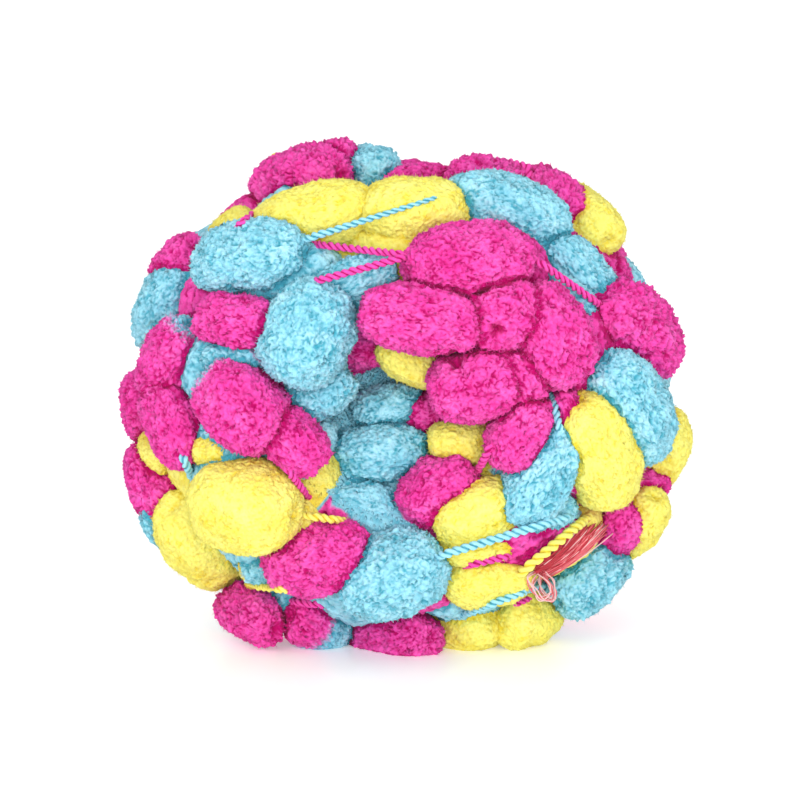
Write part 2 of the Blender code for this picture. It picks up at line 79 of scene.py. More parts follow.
# How steeply a pompom near the outline may turn away from the picture plane, how edge-on the form
# is taken to be there at most, and where the pictured part ends, as a share of the ball's depth
STEEPEST_TURN = 1.2
LEAST_FACING = 0.05
PICTURE_EDGE = 0.1
SIGHT_HALVINGS = 40
NORMAL_STEP = 0.01

# Half the thickness of a pompom as a share of its girth, the least it may be, and its fullness: 2 is
# an ellipsoid, more is fuller at the ends
PRESSED_THICKNESS = 0.52
LEAST_HALF_THICKNESS = 9.0
POMPOM_FULLNESS = 2.4

Seen = namedtuple("Seen", "colour across up length girth turn sink")
Pompom = namedtuple("Pompom", "colour middle along side out half_sizes pictured change ridged")

# Upper outline of the ball, from left to right: sizes in millimetres, turn in degrees above level,
# sink in millimetres below the wound form
TOP_TURNS = (
    Seen("pink", -78, 42, 30, 18, 45, 5),
    Seen("blue", -77, 27, 36, 22, 63, 0),
    Seen("blue", -49.5, 40.5, 44, 26, 8, -2),
    Seen("yellow", -59, 53, 26, 14, 35, 5),
    Seen("pink", -33.5, 66, 43, 26, 13, 0),
    Seen("pink", -23, 79, 18, 13, 8, 6),
    Seen("blue", -13, 74, 30, 19, -18, 4),
    Seen("yellow", -31, 55.5, 48, 24, 14, 2),
    Seen("yellow", 3.5, 57.5, 38, 24, 0, 1),
    Seen("pink", 6, 70, 34, 13, 3, 5),
    Seen("blue", 34, 57.5, 46, 26, -16, 1),
    Seen("pink", 31, 69.5, 46, 21, -4, 5),
    Seen("pink", 51, 64.5, 34, 20, -52, 4),
    Seen("yellow", 60.5, 56, 38, 21, -65, 2),
    Seen("blue", 60, 38, 34, 17, -45, 2),
    Seen("pink", 69, 38.5, 20, 14, -60, 3),
)

# Left flank, from the top down
LEFT_TURNS = (
    Seen("pink", -54.5, 20.5, 33, 21, -8, 0),
    Seen("blue", -57.5, 9.5, 28, 20, 20, 4),
    Seen("pink", -76.5, 7.5, 34, 22, 65, 0),
    Seen("pink", -75, -12, 35, 22, 112, 0),
    Seen("pink", -87, -7, 32, 18, 86, 2),
    Seen("yellow", -79.5, -19, 30, 15, -58, 0),
    Seen("yellow", -64, -21.5, 20, 14, 0, 4),
    Seen("pink", -83, -33, 34, 19, -65, 1),
    Seen("blue", -81, -47, 26, 16, -60, 4),
    Seen("yellow", -51, -38, 39, 31, -12, -3),
    Seen("yellow", -66.5, -50, 46, 27, -55, 0),
)

# Right flank, from the top down
RIGHT_TURNS = (
    Seen("pink", 74.5, 17.5, 42, 28, -45, -1),
    Seen("blue", 56, 29, 26, 13, -38, 4),
    Seen("blue", 72.5, -7, 46, 27, -62, -2),
    Seen("yellow", 63.5, -21.5, 45, 27, -70, 0),
    Seen("yellow", 86, -21, 34, 20, 78, 2),
    Seen("pink", 54, -11, 24, 12, 85, 3),
    Seen("pink", 83, -31, 24, 14, 60, 3),
    Seen("pink", 71, -48, 36, 20, 60, 2),
    Seen("yellow", 79, -46, 34, 17, 64, 2),
    Seen("blue", 61, -62.5, 34, 22, 40, 0),
)

# Lower front, from left to right
BOTTOM_TURNS = (
    Seen("pink", -51, -76, 33, 18, -13, 1),
    Seen("blue", -48, -61, 22, 15, 0, 4),
    Seen("blue", -43, -71, 26, 12, -10, 4),
    Seen("blue", -28, -80, 34, 20, -25, 2),
    Seen("pink", -28.5, -57, 39, 25, 8, 0),
    Seen("pink", -5, -78.5, 48, 22, 3, -3),
    Seen("blue", -4, -61, 40, 28, 17, -2),
    Seen("yellow", 26, -55, 30, 12, 10, 5),
    Seen("pink", 43, -53.5, 20, 10, 22, 4),
    Seen("yellow", 28, -64, 32, 19, 8, 1),
    Seen("yellow", 21, -79, 30, 23, 18, 1),
    Seen("yellow", 41, -77, 30, 20, 12, 1),
)

# Round the mouth of the hollow, clockwise from the upper left
RIM_TURNS = (
    Seen("blue", -31.5, 17, 38, 30, 65, -1),
    Seen("blue", -18, 34, 36, 18, 22, 3),
    Seen("pink", 38.5, -15.5, 29, 21, 68, 1),
    Seen("blue", 45, -30, 39, 22, 62, 0),
    Seen("blue", 48, -43, 26, 16, 15, 5),
    Seen("yellow", 25, -45, 32, 22, 25, 6),
    Seen("pink", -38, -18, 30, 20, -45, 2),
    Seen("pink", -52.5, -6.5, 35, 28, -45, -2),
)

# The tail of the yarn, tucked back over the mouth at the upper right, proud of the rest
TUCKED_TAIL = (
    Seen("pink", 20.5, 38, 45, 28, 8, -5),
    Seen("pink", 5.5, 21, 43, 24, -8, -7),
    Seen("pink", 31.5, 22, 30, 26, 20, -4),
    Seen("pink", 46.5, 16, 37, 28, -62, -3),
    Seen("pink", 36, 4, 28, 22, -20, 1),
    Seen("pink", 23.5, 0.5, 33, 26, 15, 0),
)

# Down in the hollow. A sink of more than the deep sink is taken along the line of sight
DEEP_SINK = 8.0
HOLLOW_TURNS = (
    Seen("blue", -28, -1, 26, 20, 30, 14),
    Seen("pink", -14, 13, 22, 16, 0, 28),
    Seen("yellow", 2, 8.5, 26, 16, -30, 16),
    Seen("blue", -5, -7, 28, 16, 10, 32),
    Seen("blue", -8.5, -22, 38, 23, 8, 29),
    Seen("blue", -14.5, -39.5, 32, 21, -8, 22),
    Seen("pink", 12, -35, 31, 24, 35, 14.5),
    Seen("yellow", 19, -19, 24, 17, 0, 20),
    Seen("yellow", -30, -16.5, 18, 14, 0, 22),
    Seen("yellow", -30, -29, 20, 19, -60, 20),
    Seen("pink", -32, -38.5, 16, 12, 60, 18),
    Seen("pink", 8, -9, 20, 16, 0, 32),
)
SEEN_TABLES = (
    TOP_TURNS, LEFT_TURNS, RIGHT_TURNS, BOTTOM_TURNS, RIM_TURNS, TUCKED_TAIL, HOLLOW_TURNS
)

# Rings of pompoms on the sides and the back: polar is the angle from the front end of the wind's
# axis, tilt the angle of the pompoms to the ring, both in degrees; sink is below the wound form, and
# floor_sink is what it falls to where the ring lies on the floor
Ring = namedtuple("Ring", "polar count tilt start sink floor_sink")
OUTER_RINGS = (
    Ring(88, 14, 52, 13, 9, 0),
    Ring(104, 14, 52, 0, 6, 0),
    Ring(121, 13, 48, 4, 1, 0),
    Ring(139, 10, 35, 12, 0, 0),
    Ring(157, 7, -20, 30, 1, 1),
    Ring(174, 3, 15, 0, 7, 7),
)
UNDER_RINGS = (
    Ring(48, 10, -35, 20, 10, 10),
    Ring(66, 13, -40, 8, 11, 11),
    Ring(84, 14, -45, 16, 12, 12),
    Ring(102, 14, -45, 2, 12, 12),
    Ring(121, 12, -40, 18, 12, 12),
    Ring(141, 9, -30, 6, 12, 12),
    Ring(163, 5, 20, 25, 12, 12),
)
DYE_ORDER = ("pink", "blue", "yellow", "pink", "blue", "pink", "yellow", "blue")
DYE_STEP = 3

# The wind is slack at the top of the rings: by its clock angle and its width in degrees, and how much
# deeper the pompoms lie there
SLACK_CLOCK = 84.0
SLACK_WIDTH = 13.0
SLACK_SINK = 6.0

# The middle of the wind, below the pompoms: its skin, and the well of the hollow in it. The skin is
# painted half in shade, darker in its dips and lighter on its lumps
CORE_SINK = 7.0
WELL_RADIUS = 40.0
WELL_FLOOR = -20.0
CORE_STEPS = 104
CORE_SIDES = 150
CORE_CROWDING = 1.6
CORE_LUMPS = 0.6
CORE_LUMP_LENGTHS = (2.4, 6.0)
CORE_UNEVENNESS = 0.45
CORE_SHADED_LIGHTNESS = 0.5
CORE_LUMP_PAINTED_SHADES = 0.1
CORE_POINT_PAINTED_SHADES = 0.14
CORE_TUFT_WIDTH = 1.5
CORE_TUFT_HEIGHTS = (0.6, 1.8)

# Where the dye changes inside a pompom of the front: its place in the picture plane, the other
# colour, and where along the pompom it begins, from -1 at its left end to 1 at its right end. How soft
# and how steep the change is, and how it frays. How often a pompom of the rings changes, and where
Change = namedtuple("Change", "colour at")
DYE_CHANGES = {
    (-52.5, -6.5): Change("blue", -0.86),
    (-30, -29): Change("pink", -0.55),
    (-30, -16.5): Change("blue", 0.3),
    (-57.5, 9.5): Change("pink", 0.8),
    (-76.5, 7.5): Change("blue", 0.92),
    (-48, -61): Change("yellow", -0.3),
    (-28, -80): Change("pink", -0.3),
    (71, -48): Change("blue", -0.4),
}
CHANGE_SOFTNESS = 0.16
CHANGE_STEEPNESS = 3
LAST_STEEPNESS = 30
CHANGE_FRAYING = 0.05
RING_CHANGE_EVERY = 4
RING_CHANGE_AT = 0.6

# Pompoms of the front whose pile lies in ridges round them
RIDGED = ((74.5, 17.5), (31, 69.5), (51, 64.5), (-33.5, 66))
RIDGE_PITCH = 3.3
RIDGE_HEIGHT = 0.45
RIDGE_BEND = 2

# The dye scale: a place from 0 to 1 for each dye, in the order in which one runs into the next.
# Pink is at both ends, so that it can run into turquoise and into yellow. Colours at the tips of the pile,
# which are the yarn's own, and painted shade colours for its roots and cracks, by that place
DYE_MAP = "OFBake"
DYE_PLACES = {"pink": 0.06, "blue": 0.38, "yellow": 0.66}
PINK_AFTER_YELLOW = 0.94
TIP_COLOURS = (
    (0.00, (0.78, 0.040, 0.330)),
    (0.06, (0.86, 0.082, 0.430)),
    (0.12, (0.93, 0.150, 0.540)),
    (0.32, (0.23, 0.610, 0.750)),
    (0.38, (0.33, 0.690, 0.820)),
    (0.44, (0.46, 0.780, 0.880)),
    (0.60, (0.82, 0.740, 0.130)),
    (0.66, (0.87, 0.820, 0.185)),
    (0.72, (0.91, 0.870, 0.250)),
    (0.88, (0.93, 0.150, 0.540)),
    (0.94, (0.86, 0.082, 0.430)),
    (1.00, (0.78, 0.040, 0.330)),
)
SHADED_ROOT_COLOURS = (
    (0.00, (0.42, 0.003, 0.10)),
    (0.12, (0.50, 0.008, 0.16)),
    (0.32, (0.05, 0.32, 0.43)),
    (0.44, (0.07, 0.38, 0.49)),
    (0.60, (0.74, 0.56, 0.03)),
    (0.72, (0.79, 0.63, 0.05)),
    (0.88, (0.50, 0.008, 0.16)),
    (1.00, (0.42, 0.003, 0.10)),
)
# Lightness on the map at and below which the painted root shade is full, and at and above which the tip
# colour shows unshaded
FULL_SHADE_LIGHTNESS = 0.0
UNSHADED_LIGHTNESS = 0.9

# Soft patches and specks on the dye scale in the pile, specks in the core and the links, and how near
# the edges of the map a place may lie
DYE_PATCHES = 0.022
DYE_SPECKS = 0.01
PLAIN_DYE_SPECKS = 0.012
MAP_EDGES = (0.002, 0.998)

# Cut pile. It stands in curds, small tufts with cracks between them: the space between the points of
# its fine surface and between its curds, and the share of its points that carry fuzz, on the front and
# elsewhere. The space between points that are hidden, and how far down a pompom's form they reach. How
# much the points stray from their even places
Pile = namedtuple("Pile", "space curd_space fuzz_share")
FRONT_PILE = Pile(0.62, 1.75, 0.3)
OTHER_PILE = Pile(1.08, 2.2, 0.22)
HIDDEN_PILE_SPACE = 4.5
LOWEST_HIDDEN = -0.97
POINTS_TO_A_SQUARE = 1 / 0.866
PLACE_JITTER = (0.1, 0.9)
TURN_JITTER = 0.35

# Curds: how unevenly they stand and lean, how round they are, how deep and wide their cracks are, how
# open the least of them is, and how far they wander. The pile between them: its unevenness from point
# to point. How lively all this is in each dye
CURD_RISE = 0.22
CURD_LEAN = 0.18
CURD_ROUNDING = 0.3
CRACK_DEPTH = 1.3
CRACK_WIDTH = 0.45
LEAST_CRACK = 0.28
CURD_WANDER = 0.5
WANDER_LENGTHS = (2.5, 5.0)
POINT_UNEVENNESS = 0.08
LIVELINESS = {"pink": 1.0, "blue": 0.95, "yellow": 0.5}

# Creases, where a pompom meets its neighbours and the pile is pressed in: their width, as a growth of
# the neighbour's form value, and their depth. The pile in them is also painted darker, as shade
CREASE_WIDTH = 0.17
CREASE_DEPTH = 0.5

# Lightness on the map, from painted shade at the roots to the plain tip colour: where a curd's top
# stands, how much painted shade darkens its rim, its cracks and the creases, how far whole curds, soft
# patches and single points differ at random, and the painted shade of hidden places
TOP_LIGHTNESS = 0.9
RIM_PAINTED_SHADE = 0.14
CRACK_PAINTED_SHADE = 1.0
CREASE_PAINTED_SHADE = 0.55
CURD_SHADES = 0.15
PATCH_SHADES = 0.05
POINT_SHADES = 0.09
HIDDEN_SHADED_LIGHTNESS = 0.3

# Lumps and bends of a whole pompom: their height and lengths. At its ends the pile is drawn in round
# the link, its dimple painted in shade, and lies in rays
SWELL = 0.42
SWELL_WAVES = 7
SWELL_LENGTHS = (7.0, 16.0)
END_DIMPLE = 1.6
END_DIMPLE_WIDTH = 2.6
DIMPLE_PAINTED_SHADE = 0.6
END_RAYS = 15
RAY_HEIGHT = 0.32
RAY_BEND = 3
RAYS_BEGIN = 0.72

# Small eyelets in the pink mass at the upper right, where turns of the yarn part; their hollows are
# painted in shade
Eyelet = namedtuple("Eyelet", "across up width depth")
EYELETS = (
    Eyelet(30.5, 18.0, 2.6, 5.0),
    Eyelet(16.6, 8.7, 2.0, 4.0),
)
EYELET_PAINTED_SHADE = 0.6

# Fuzz: fine spikes of fibre that stand out of the pile, except in cracks, painted in shade at their roots
FUZZ_MOST_CRACK = 0.3
FUZZ_WIDTH = 0.3
FUZZ_ROOT = 0.5
FUZZ_HEIGHTS = (0.3, 0.95)
FUZZ_LEAN = 0.32
FUZZ_DYE_SPECKS = 0.008
FUZZ_ROOT_PAINTED_SHADES = (0.4, 0.6)
FUZZ_TIP_SHADES = (0.85, 0.99)

# A pompom's plain body under the pile, the depth in a neighbour from which pile is left out, and the
# directions in which a way out of the ball is looked for
BODY_SUBDIVISIONS = 3
BODY_SINK = 1.25
BURIED = 0.86
SIGHT_START = 0.3
SIGHT_TILT = math.radians(52)
SIGHT_TURNS = 6
NEARLY_UPRIGHT = 0.9
GOLDEN_ANGLE = math.pi * (3 - math.sqrt(5))
PROFILE_STEPS = 240

# Bare links that show between the front pompoms: ends across and up in the picture plane, rise above
# what they pass over, thickness as a share of the usual one, and what is left of that at the far end
Link = namedtuple("Link", "colour from_across from_up to_across to_up rise size left", defaults=(1.0,))
FRONT_LINKS = (
    Link("blue", -34, 48, 13, 63, 0.8, 0.95, 0.5),
    Link("pink", -31, 47, 2, 43, 0.0, 0.9),
    Link("pink", -31, 34, 2, 43, 0.0, 0.9),
    Link("pink", 43, 42, 66, 26, 0.3, 0.9),
    Link("pink", -56, 52, -50, 57, 0.3, 0.9),
    Link("blue", -74, -22, -70.5, -30, 0.5, 1.0),
    Link("blue", 10, -57, 58, -42.5, 1.2, 1.0),
    Link("pink", 19, -60, 37, -56, 0.3, 0.9),
    Link("yellow", 37, -63.5, 62, -42.5, 2.4, 1.2),
    Link("blue", 18, -76.5, 47, -65.5, 0.5, 0.9),
    Link("pink", 33, -74, 44, -69.5, 0.2, 0.8),
    Link("yellow", -34, -43, -19, -45, 0.8, 0.95),
    Link("yellow", -53, -66, -37, -68, 0.5, 0.9),
    Link("pink", -39, -71, -25, -73, 0.3, 0.9),
    Link("blue", 49, -3, 52, -17, 0.8, 0.9),
    Link("pink", -40, -26, -31, -38, 0.8, 0.9),
    Link("pink", 30, -18, 24, -29, 0.3, 1.0),
)

# Bare links on the sides and the back: ends by polar angle from the front of the wind's axis and by
# clock angle from the right, in degrees
RoundLink = namedtuple("RoundLink", "colour from_polar from_clock to_polar to_clock")
ROUND_LINKS = (
    RoundLink("pink", 92, 62, 116, 80),
    RoundLink("yellow", 98, 118, 124, 104),
    RoundLink("blue", 104, 158, 132, 176),
    RoundLink("pink", 100, 196, 128, 212),
    RoundLink("yellow", 106, 338, 134, 318),
    RoundLink("blue", 96, 12, 124, 30),
    RoundLink("blue", 140, 70, 166, 110),
    RoundLink("pink", 146, 150, 168, 215),
    RoundLink("yellow", 142, 250, 165, 300),
    RoundLink("pink", 150, 330, 160, 20),
)
LINK_STEP = 4.0
LEAST_LINK_STEPS = 3
LINK_END_SINK = 5.0

# A link is two plies twisted together, at the usual size. Each swells where it lies beside the other,
# and painted shade darkens the groove between them, fading out towards their backs
PLY_DIAMETER = 1.5
PLY_OFFSET = 0.66
PLY_PITCH = 5.6
PLY_SIDES = 10
STEPS_IN_A_SPAN = 7
PLY_UNEVENNESS = 0.07
PLY_SWELL = 0.16
SHADED_GROOVE_LIGHTNESS = 0.12
BACK_LIGHTNESS = 0.98
PLY_SHADES = 0.07
SLIGHTLY_ASIDE = 0.01

# The tuft of sewing thread: its knot in the picture plane, the fan of ends up and to the right of it
# between a first and a last end, and the loops below it. The kinds of thread run across the fan from
# its first end to its last, and from loop to loop
KNOT = (44.8, -61.6)
KNOT_TURN = math.radians(40.0)
KNOT_SPREAD = 4.2
KNOT_LOOSENESS = 0.2
KNOT_TURNS = 4
KNOT_PITCH = 1.3
KNOT_RADIUS = 1.1
THREAD_DIAMETER = 0.4
THREAD_SIDES = 5
THREAD_STEPS = 14
THREAD_RISE = 0.7
THREAD_SPREAD = 0.5
BUNDLE_HEIGHT = 1.8
FAN_THREADS = 80
FAN_FIRST_END = (68.0, -47.0)
FAN_LAST_END = (56.0, -47.8)
FAN_BOW = 2.4
FAN_BOW_WAY = (0.6, -0.8)
FAN_BOW_SHARES = (0.2, 1.2)
FAN_LOOSENESS = 1.1
FAN_SETTLING = 0.7
LOOP_ACROSS = (
    (44.6, 41.3, 42.4, 45.0, 48.7, 49.4, 46.6),
    (44.8, 48.2, 48.8, 46.4, 42.8, 42.4, 44.4),
    (45.4, 48.6, 50.0, 49.0, 46.0, 45.2, 45.4),
)
LOOP_UP = (
    (-61.4, -64.1, -67.9, -70.5, -70.5, -67.2, -62.2),
    (-62.0, -66.0, -68.4, -70.2, -68.0, -65.0, -61.8),
    (-61.4, -64.0, -67.6, -71.2, -68.6, -64.6, -61.8),
)
LOOP_LOOSENESS = 0.5
LOOP_SPAN_STEPS = 5
THREAD_COLOURS = {
    "thread_coral": (0.50, 0.022, 0.042),
    "thread_rose": (0.78, 0.150, 0.185),
    "thread_pale": (0.92, 0.560, 0.570),
}
FAN_KINDS = (
    "thread_pale", "thread_rose", "thread_pale", "thread_coral", "thread_rose", "thread_coral",
    "thread_rose", "thread_coral", "thread_coral", "thread_pale", "thread_coral", "thread_coral",
)
FAN_KIND_JITTER = 0.12
ALMOST_ONE = 0.999
LOOP_KINDS = ("thread_pale", "thread_rose", "thread_pale")

# Finishes: sheen and gloss, the scale of a surface's fibres or grain, the strength and the depth in
# metres of its bump, and the range of its roughness
Finish = namedtuple("Finish", "sheen gloss scale strength depth roughness")
PILE_FINISH = Finish(0.06, 0.0, 2600.0, 0.6, 0.0003, (0.8, 1.0))
LINK_FINISH = Finish(0.06, 0.0, 3500.0, 0.6, 0.0002, (0.8, 1.0))
THREAD_FINISH = Finish(0.05, 0.2, 4000.0, 0.4, 0.0001, (0.55, 0.75))
SWEEP_FINISH = Finish(0.0, 0.2, 6.0, 0.0, 0.0, (0.3, 0.42))
FIBRE_NOISE = {"Detail": 2.0, "Roughness": 0.7}

# Dyed yarn has small tufts under its fibres, so many times as deep, and streaks across its dye
TUFT_CELLS = {"Scale": 800.0, "Smoothness": 0.25}
TUFT_STRENGTH = 0.7
TUFT_DEPTH = 2
STREAK_NOISE = {"Scale": 90.0, "Detail": 3.0, "Roughness": 0.6}
STREAK_SHADES = (0.86, 1.12)

# Thread has patches that are darker and lighter than its own colour
THREAD_NOISE = {"Scale": 12.0, "Detail": 2.0}
THREAD_DARK = 0.75
THREAD_LIGHT = 1.1
THREAD_PALENESS = 0.03
THREAD_SHADE_PLACES = (0.3, 0.7)

# Studio: the camera's lens and its offset from the eye, which centres the picture, the curved sweep of
# the floor in metres, and the lights
WHITE = (1.0, 1.0, 1.0, 1.0)
LENS = 163.0
SENSOR = 36.0
FRAME_SHIFT = (-1.3, -4.6)
SWEEP_HALF_WIDTH = 5.0
SWEEP_FRONT = -4.0
SWEEP_BEND = 2.6
SWEEP_RADIUS = 1.4
SWEEP_TOP = 4.5
SWEEP_STEPS = 24
SWEEP_SHADE = 0.97
SWEEP_GLOW = 0.25
WORLD_STRENGTH = 0.8
Lamp = namedtuple("Lamp", "name place size energy")
LAMPS = (
    Lamp("key", (-0.35, -1.5, 0.9), 1.5, 10.0),
    Lamp("low_front", (0.1, -1.5, 0.08), 0.9, 18.0),
)
LAMP_TARGET = (0.0, 0.0, 0.07)

rng = np.random.default_rng(SEED)


def unit(vectors):
    return vectors / np.linalg.norm(vectors, axis=-1, keepdims=True)


def form_value(point):
    """Below 1 inside the wound form, 1 on it, above 1 outside it."""
    local = point - MIDDLE
    half_height = FORM_Z if local[2] > 0 else FORM_Z + PRESSED_FLAT
    round_part = math.hypot(local[0] / FORM_X, local[2] / half_height) ** FORM_ROUNDNESS
    return round_part + abs(local[1] / FORM_Y) ** FORM_ROUNDNESS


def form_normal(point):
    steps = NORMAL_STEP * np.eye(3)
    return unit(np.array([form_value(point + step) - form_value(point - step) for step in steps]))


def sight_line(across, up):
    """Direction from the eye through a point of the picture plane."""
    return unit(MIDDLE + across * RIGHT + up * UPWARD - EYE)


def in_picture(points):
    """Places of points in the picture plane, across and up."""
    from_eye = points - EYE
    scale = EYE_DISTANCE / (from_eye @ LOOK)
    return np.stack([from_eye @ RIGHT * scale, from_eye @ UPWARD * scale], 1)


def seen_on_form(across, up):
    """Where a line of sight meets the wound form, or passes nearest to its middle if it misses."""
    line = sight_line(across, up)
    far = (MIDDLE - EYE) @ line
    if form_value(EYE + far * line) >= 1.0:
        return EYE + far * line
    near = far - BALL_DEPTH
    for _ in range(SIGHT_HALVINGS):
        halfway = (near + far) / 2
        if form_value(EYE + halfway * line) > 1.0:
            near = halfway
        else:
            far = halfway
    return EYE + far * line


def placed(colour, point, along, length, girth, inward, pictured, change, ridged):
    """A pompom at a point of the form, lying along a direction, pressed flat and carried inward."""
    out = form_normal(point)
    along = unit(along - (along @ out) * out)
    half_thickness = max(PRESSED_THICKNESS * girth, LEAST_HALF_THICKNESS)
    half_sizes = np.array((length / 2, girth / 2, half_thickness))
    side = np.cross(out, along)
    return Pompom(colour, point + inward, along, side, out, half_sizes, pictured, change, ridged)


def seen_pompom(row):
    point = seen_on_form(row.across, row.up)
    out = form_normal(point)
    turn = math.radians(row.turn)
    flat = math.cos(turn) * RIGHT + math.sin(turn) * UPWARD
    facing = min(LOOK @ out, -LEAST_FACING)
    into = max(-STEEPEST_TURN, min(STEEPEST_TURN, -(flat @ out) / facing))
    nearness = np.linalg.norm(point - EYE) / EYE_DISTANCE
    length, girth = row.length * nearness, row.girth * nearness
    inward = row.sink * (sight_line(row.across, row.up) if row.sink > DEEP_SINK else -out)
    place = (row.across, row.up)
    change, ridged = DYE_CHANGES.get(place), place in RIDGED
    return placed(row.colour, point, flat + into * LOOK, length, girth, inward, True, change, ridged)


def form_ray(polar, clock):
    """Direction from the ball's middle to a place of the form, by its two angles."""
    radius = math.sin(polar)
    x, z = FORM_X * radius * math.cos(clock), FORM_Z * radius * math.sin(clock)
    return np.array((x, -FORM_Y * math.cos(polar), z))


def ring_pompoms(ring, dye_start):
    """One ring of pompoms round the wind's axis, tilted as the winder lays them."""
    made = []
    tilt = math.radians(ring.tilt)
    for i in range(ring.count):
        clock = math.radians(ring.start) + 2 * math.pi * i / ring.count
        ray = form_ray(math.radians(ring.polar), clock)
        point = MIDDLE + ray / form_value(MIDDLE + ray) ** (1 / FORM_ROUNDNESS)
        out = form_normal(point)
        round_the_axis = np.array((-math.sin(clock), 0.0, math.cos(clock)))
        round_the_axis = unit(round_the_axis - (round_the_axis @ out) * out)
        along = math.cos(tilt) * round_the_axis + math.sin(tilt) * np.cross(out, round_the_axis)
        dye = dye_start + DYE_STEP * i
        colour = DYE_ORDER[dye % len(DYE_ORDER)]
        change = None
        if i % RING_CHANGE_EVERY == dye_start % RING_CHANGE_EVERY:
            change = Change(DYE_ORDER[(dye + DYE_STEP) % len(DYE_ORDER)], RING_CHANGE_AT)
        rests_on_floor = max(0.0, -math.sin(clock))
        sink = ring.sink + (ring.floor_sink - ring.sink) * rests_on_floor
        sink += SLACK_SINK * math.exp(-(((math.degrees(clock) - SLACK_CLOCK) / SLACK_WIDTH) ** 2))
        sizes = POMPOM_LENGTH, POMPOM_GIRTH
        made.append(placed(colour, point, along, *sizes, -sink * out, False, change, False))
    return made


def in_the_picture(pompom):
    """True where the measured pompoms already cover the form."""
    return (pompom.middle - MIDDLE) @ LOOK < -PICTURE_EDGE * BALL_DEPTH


def all_pompoms():
    pompoms = [seen_pompom(row) for table in SEEN_TABLES for row in table]
    for dye_start, ring in enumerate(OUTER_RINGS):
        pompoms += [p for p in ring_pompoms(ring, dye_start) if not in_the_picture(p)]
    for dye_start, ring in enumerate(UNDER_RINGS):
        pompoms += ring_pompoms(ring, dye_start)
    return pompoms


def from_local(p, local):
    return local[:, :1] * p.along + local[:, 1:2] * p.side + local[:, 2:] * p.out


def in_pompom(p, points):
    """For each point, below 1 inside a pompom's form, 1 on it, above 1 outside it."""
    local = (points - p.middle) @ np.stack([p.along, p.side, p.out], 1) / p.half_sizes
    return (np.abs(local) ** POMPOM_FULLNESS).sum(1)


def reach_at(angle):
    """How far a pompom's form reaches from its axis, as a share, at an angle from its left end."""
    return np.maximum(1 - np.abs(np.cos(angle)) ** POMPOM_FULLNESS, 0) ** (1 / POMPOM_FULLNESS)


def scattered(p, space):
    """Evenly scattered places on a pompom's form, as shares of its half sizes, by strips of equal area
    along it and the golden angle round it."""
    angle = np.linspace(0.0, math.pi, PROFILE_STEPS)
    radius = reach_at(angle) * (p.half_sizes[1] + p.half_sizes[2]) / 2
    along = -np.cos(angle) * p.half_sizes[0]
    strip = math.pi * (radius[1:] + radius[:-1]) * np.hypot(np.diff(along), np.diff(radius))
    area = np.concatenate([[0.0], np.cumsum(strip)])
    count = int(area[-1] * POINTS_TO_A_SQUARE / space**2)
    order = np.arange(count) + rng.uniform(*PLACE_JITTER, count)
    at = np.interp(order / count * area[-1], area, angle)
    turn = GOLDEN_ANGLE * np.arange(count) + rng.normal(0, TURN_JITTER * space, count) / p.half_sizes[1]
    rim = np.stack([np.cos(turn), np.sin(turn)], 1)
    rim /= (np.abs(rim) ** POMPOM_FULLNESS).sum(1, keepdims=True) ** (1 / POMPOM_FULLNESS)
    return np.concatenate([-np.cos(at)[:, None], rim * reach_at(at)[:, None]], 1)


def on_form(p, shares):
    """Points of a pompom's form and their normals."""
    slope = np.sign(shares) * np.abs(shares) ** (POMPOM_FULLNESS - 1) / p.half_sizes
    return p.middle + from_local(p, shares * p.half_sizes), unit(from_local(p, slope))


def squared_distances(points, targets):
    near, far = points - MIDDLE, targets - MIDDLE
    return (near**2).sum(1)[:, None] + (far**2).sum(1) - 2 * near @ far.T


def two_nearest(points, targets):
    """For each point, the numbers of the two nearest targets and the distances to them."""
    apart = squared_distances(points, targets)
    rows = np.arange(len(points))
    first = apart.argmin(1)
    to_first = np.sqrt(apart[rows, first].clip(0))
    apart[rows, first] = np.inf
    second = apart.argmin(1)
    return first, second, to_first, np.sqrt(apart[rows, second].clip(0))


def waves(points, lengths):
    """Soft lumps in space: a few waves in chance directions, from about -1 to 1."""
    total = np.zeros(len(points))
    for _ in range(SWELL_WAVES):
        wave = unit(rng.normal(size=3)) * 2 * math.pi / rng.uniform(*lengths)
        total += np.sin(points @ wave + rng.uniform(0, 2 * math.pi))
    return total / math.sqrt(SWELL_WAVES)


def dye_place(p, along):
    """The place on the dye scale of each place along a pompom."""
    near_yellow = p.change is not None and "yellow" in (p.colour, p.change.colour)
    places = dict(DYE_PLACES, pink=PINK_AFTER_YELLOW) if near_yellow else DYE_PLACES
    own = np.full(len(along), places[p.colour])
    if p.change is None:
        return own
    past = (along - p.change.at) * math.copysign(1.0, p.change.at) / CHANGE_SOFTNESS
    steepness = np.clip(CHANGE_STEEPNESS * past, -LAST_STEEPNESS, LAST_STEEPNESS)
    return own + (places[p.change.colour] - own) / (1 + np.exp(-steepness))


def in_a_neighbour(pompoms, number, points):
    """For each point of a pompom, below 1 inside the form of any other one and above 1 outside them."""
    least = np.full(len(points), np.inf)
    own = pompoms[number]
    for other_number, other in enumerate(pompoms):
        apart = np.linalg.norm(other.middle - own.middle)
        if other_number != number and apart < other.half_sizes[0] + own.half_sizes[0]:
            least = np.minimum(least, in_pompom(other, points))
    return least


def tangents(normals):
    """Two directions square to each normal."""
    helper = np.where(np.abs(normals[:, 2:]) < NEARLY_UPRIGHT, (0.0, 0.0, 1.0), (1.0, 0.0, 0.0))
    first = unit(np.cross(normals, helper))
    return first, np.cross(normals, first)


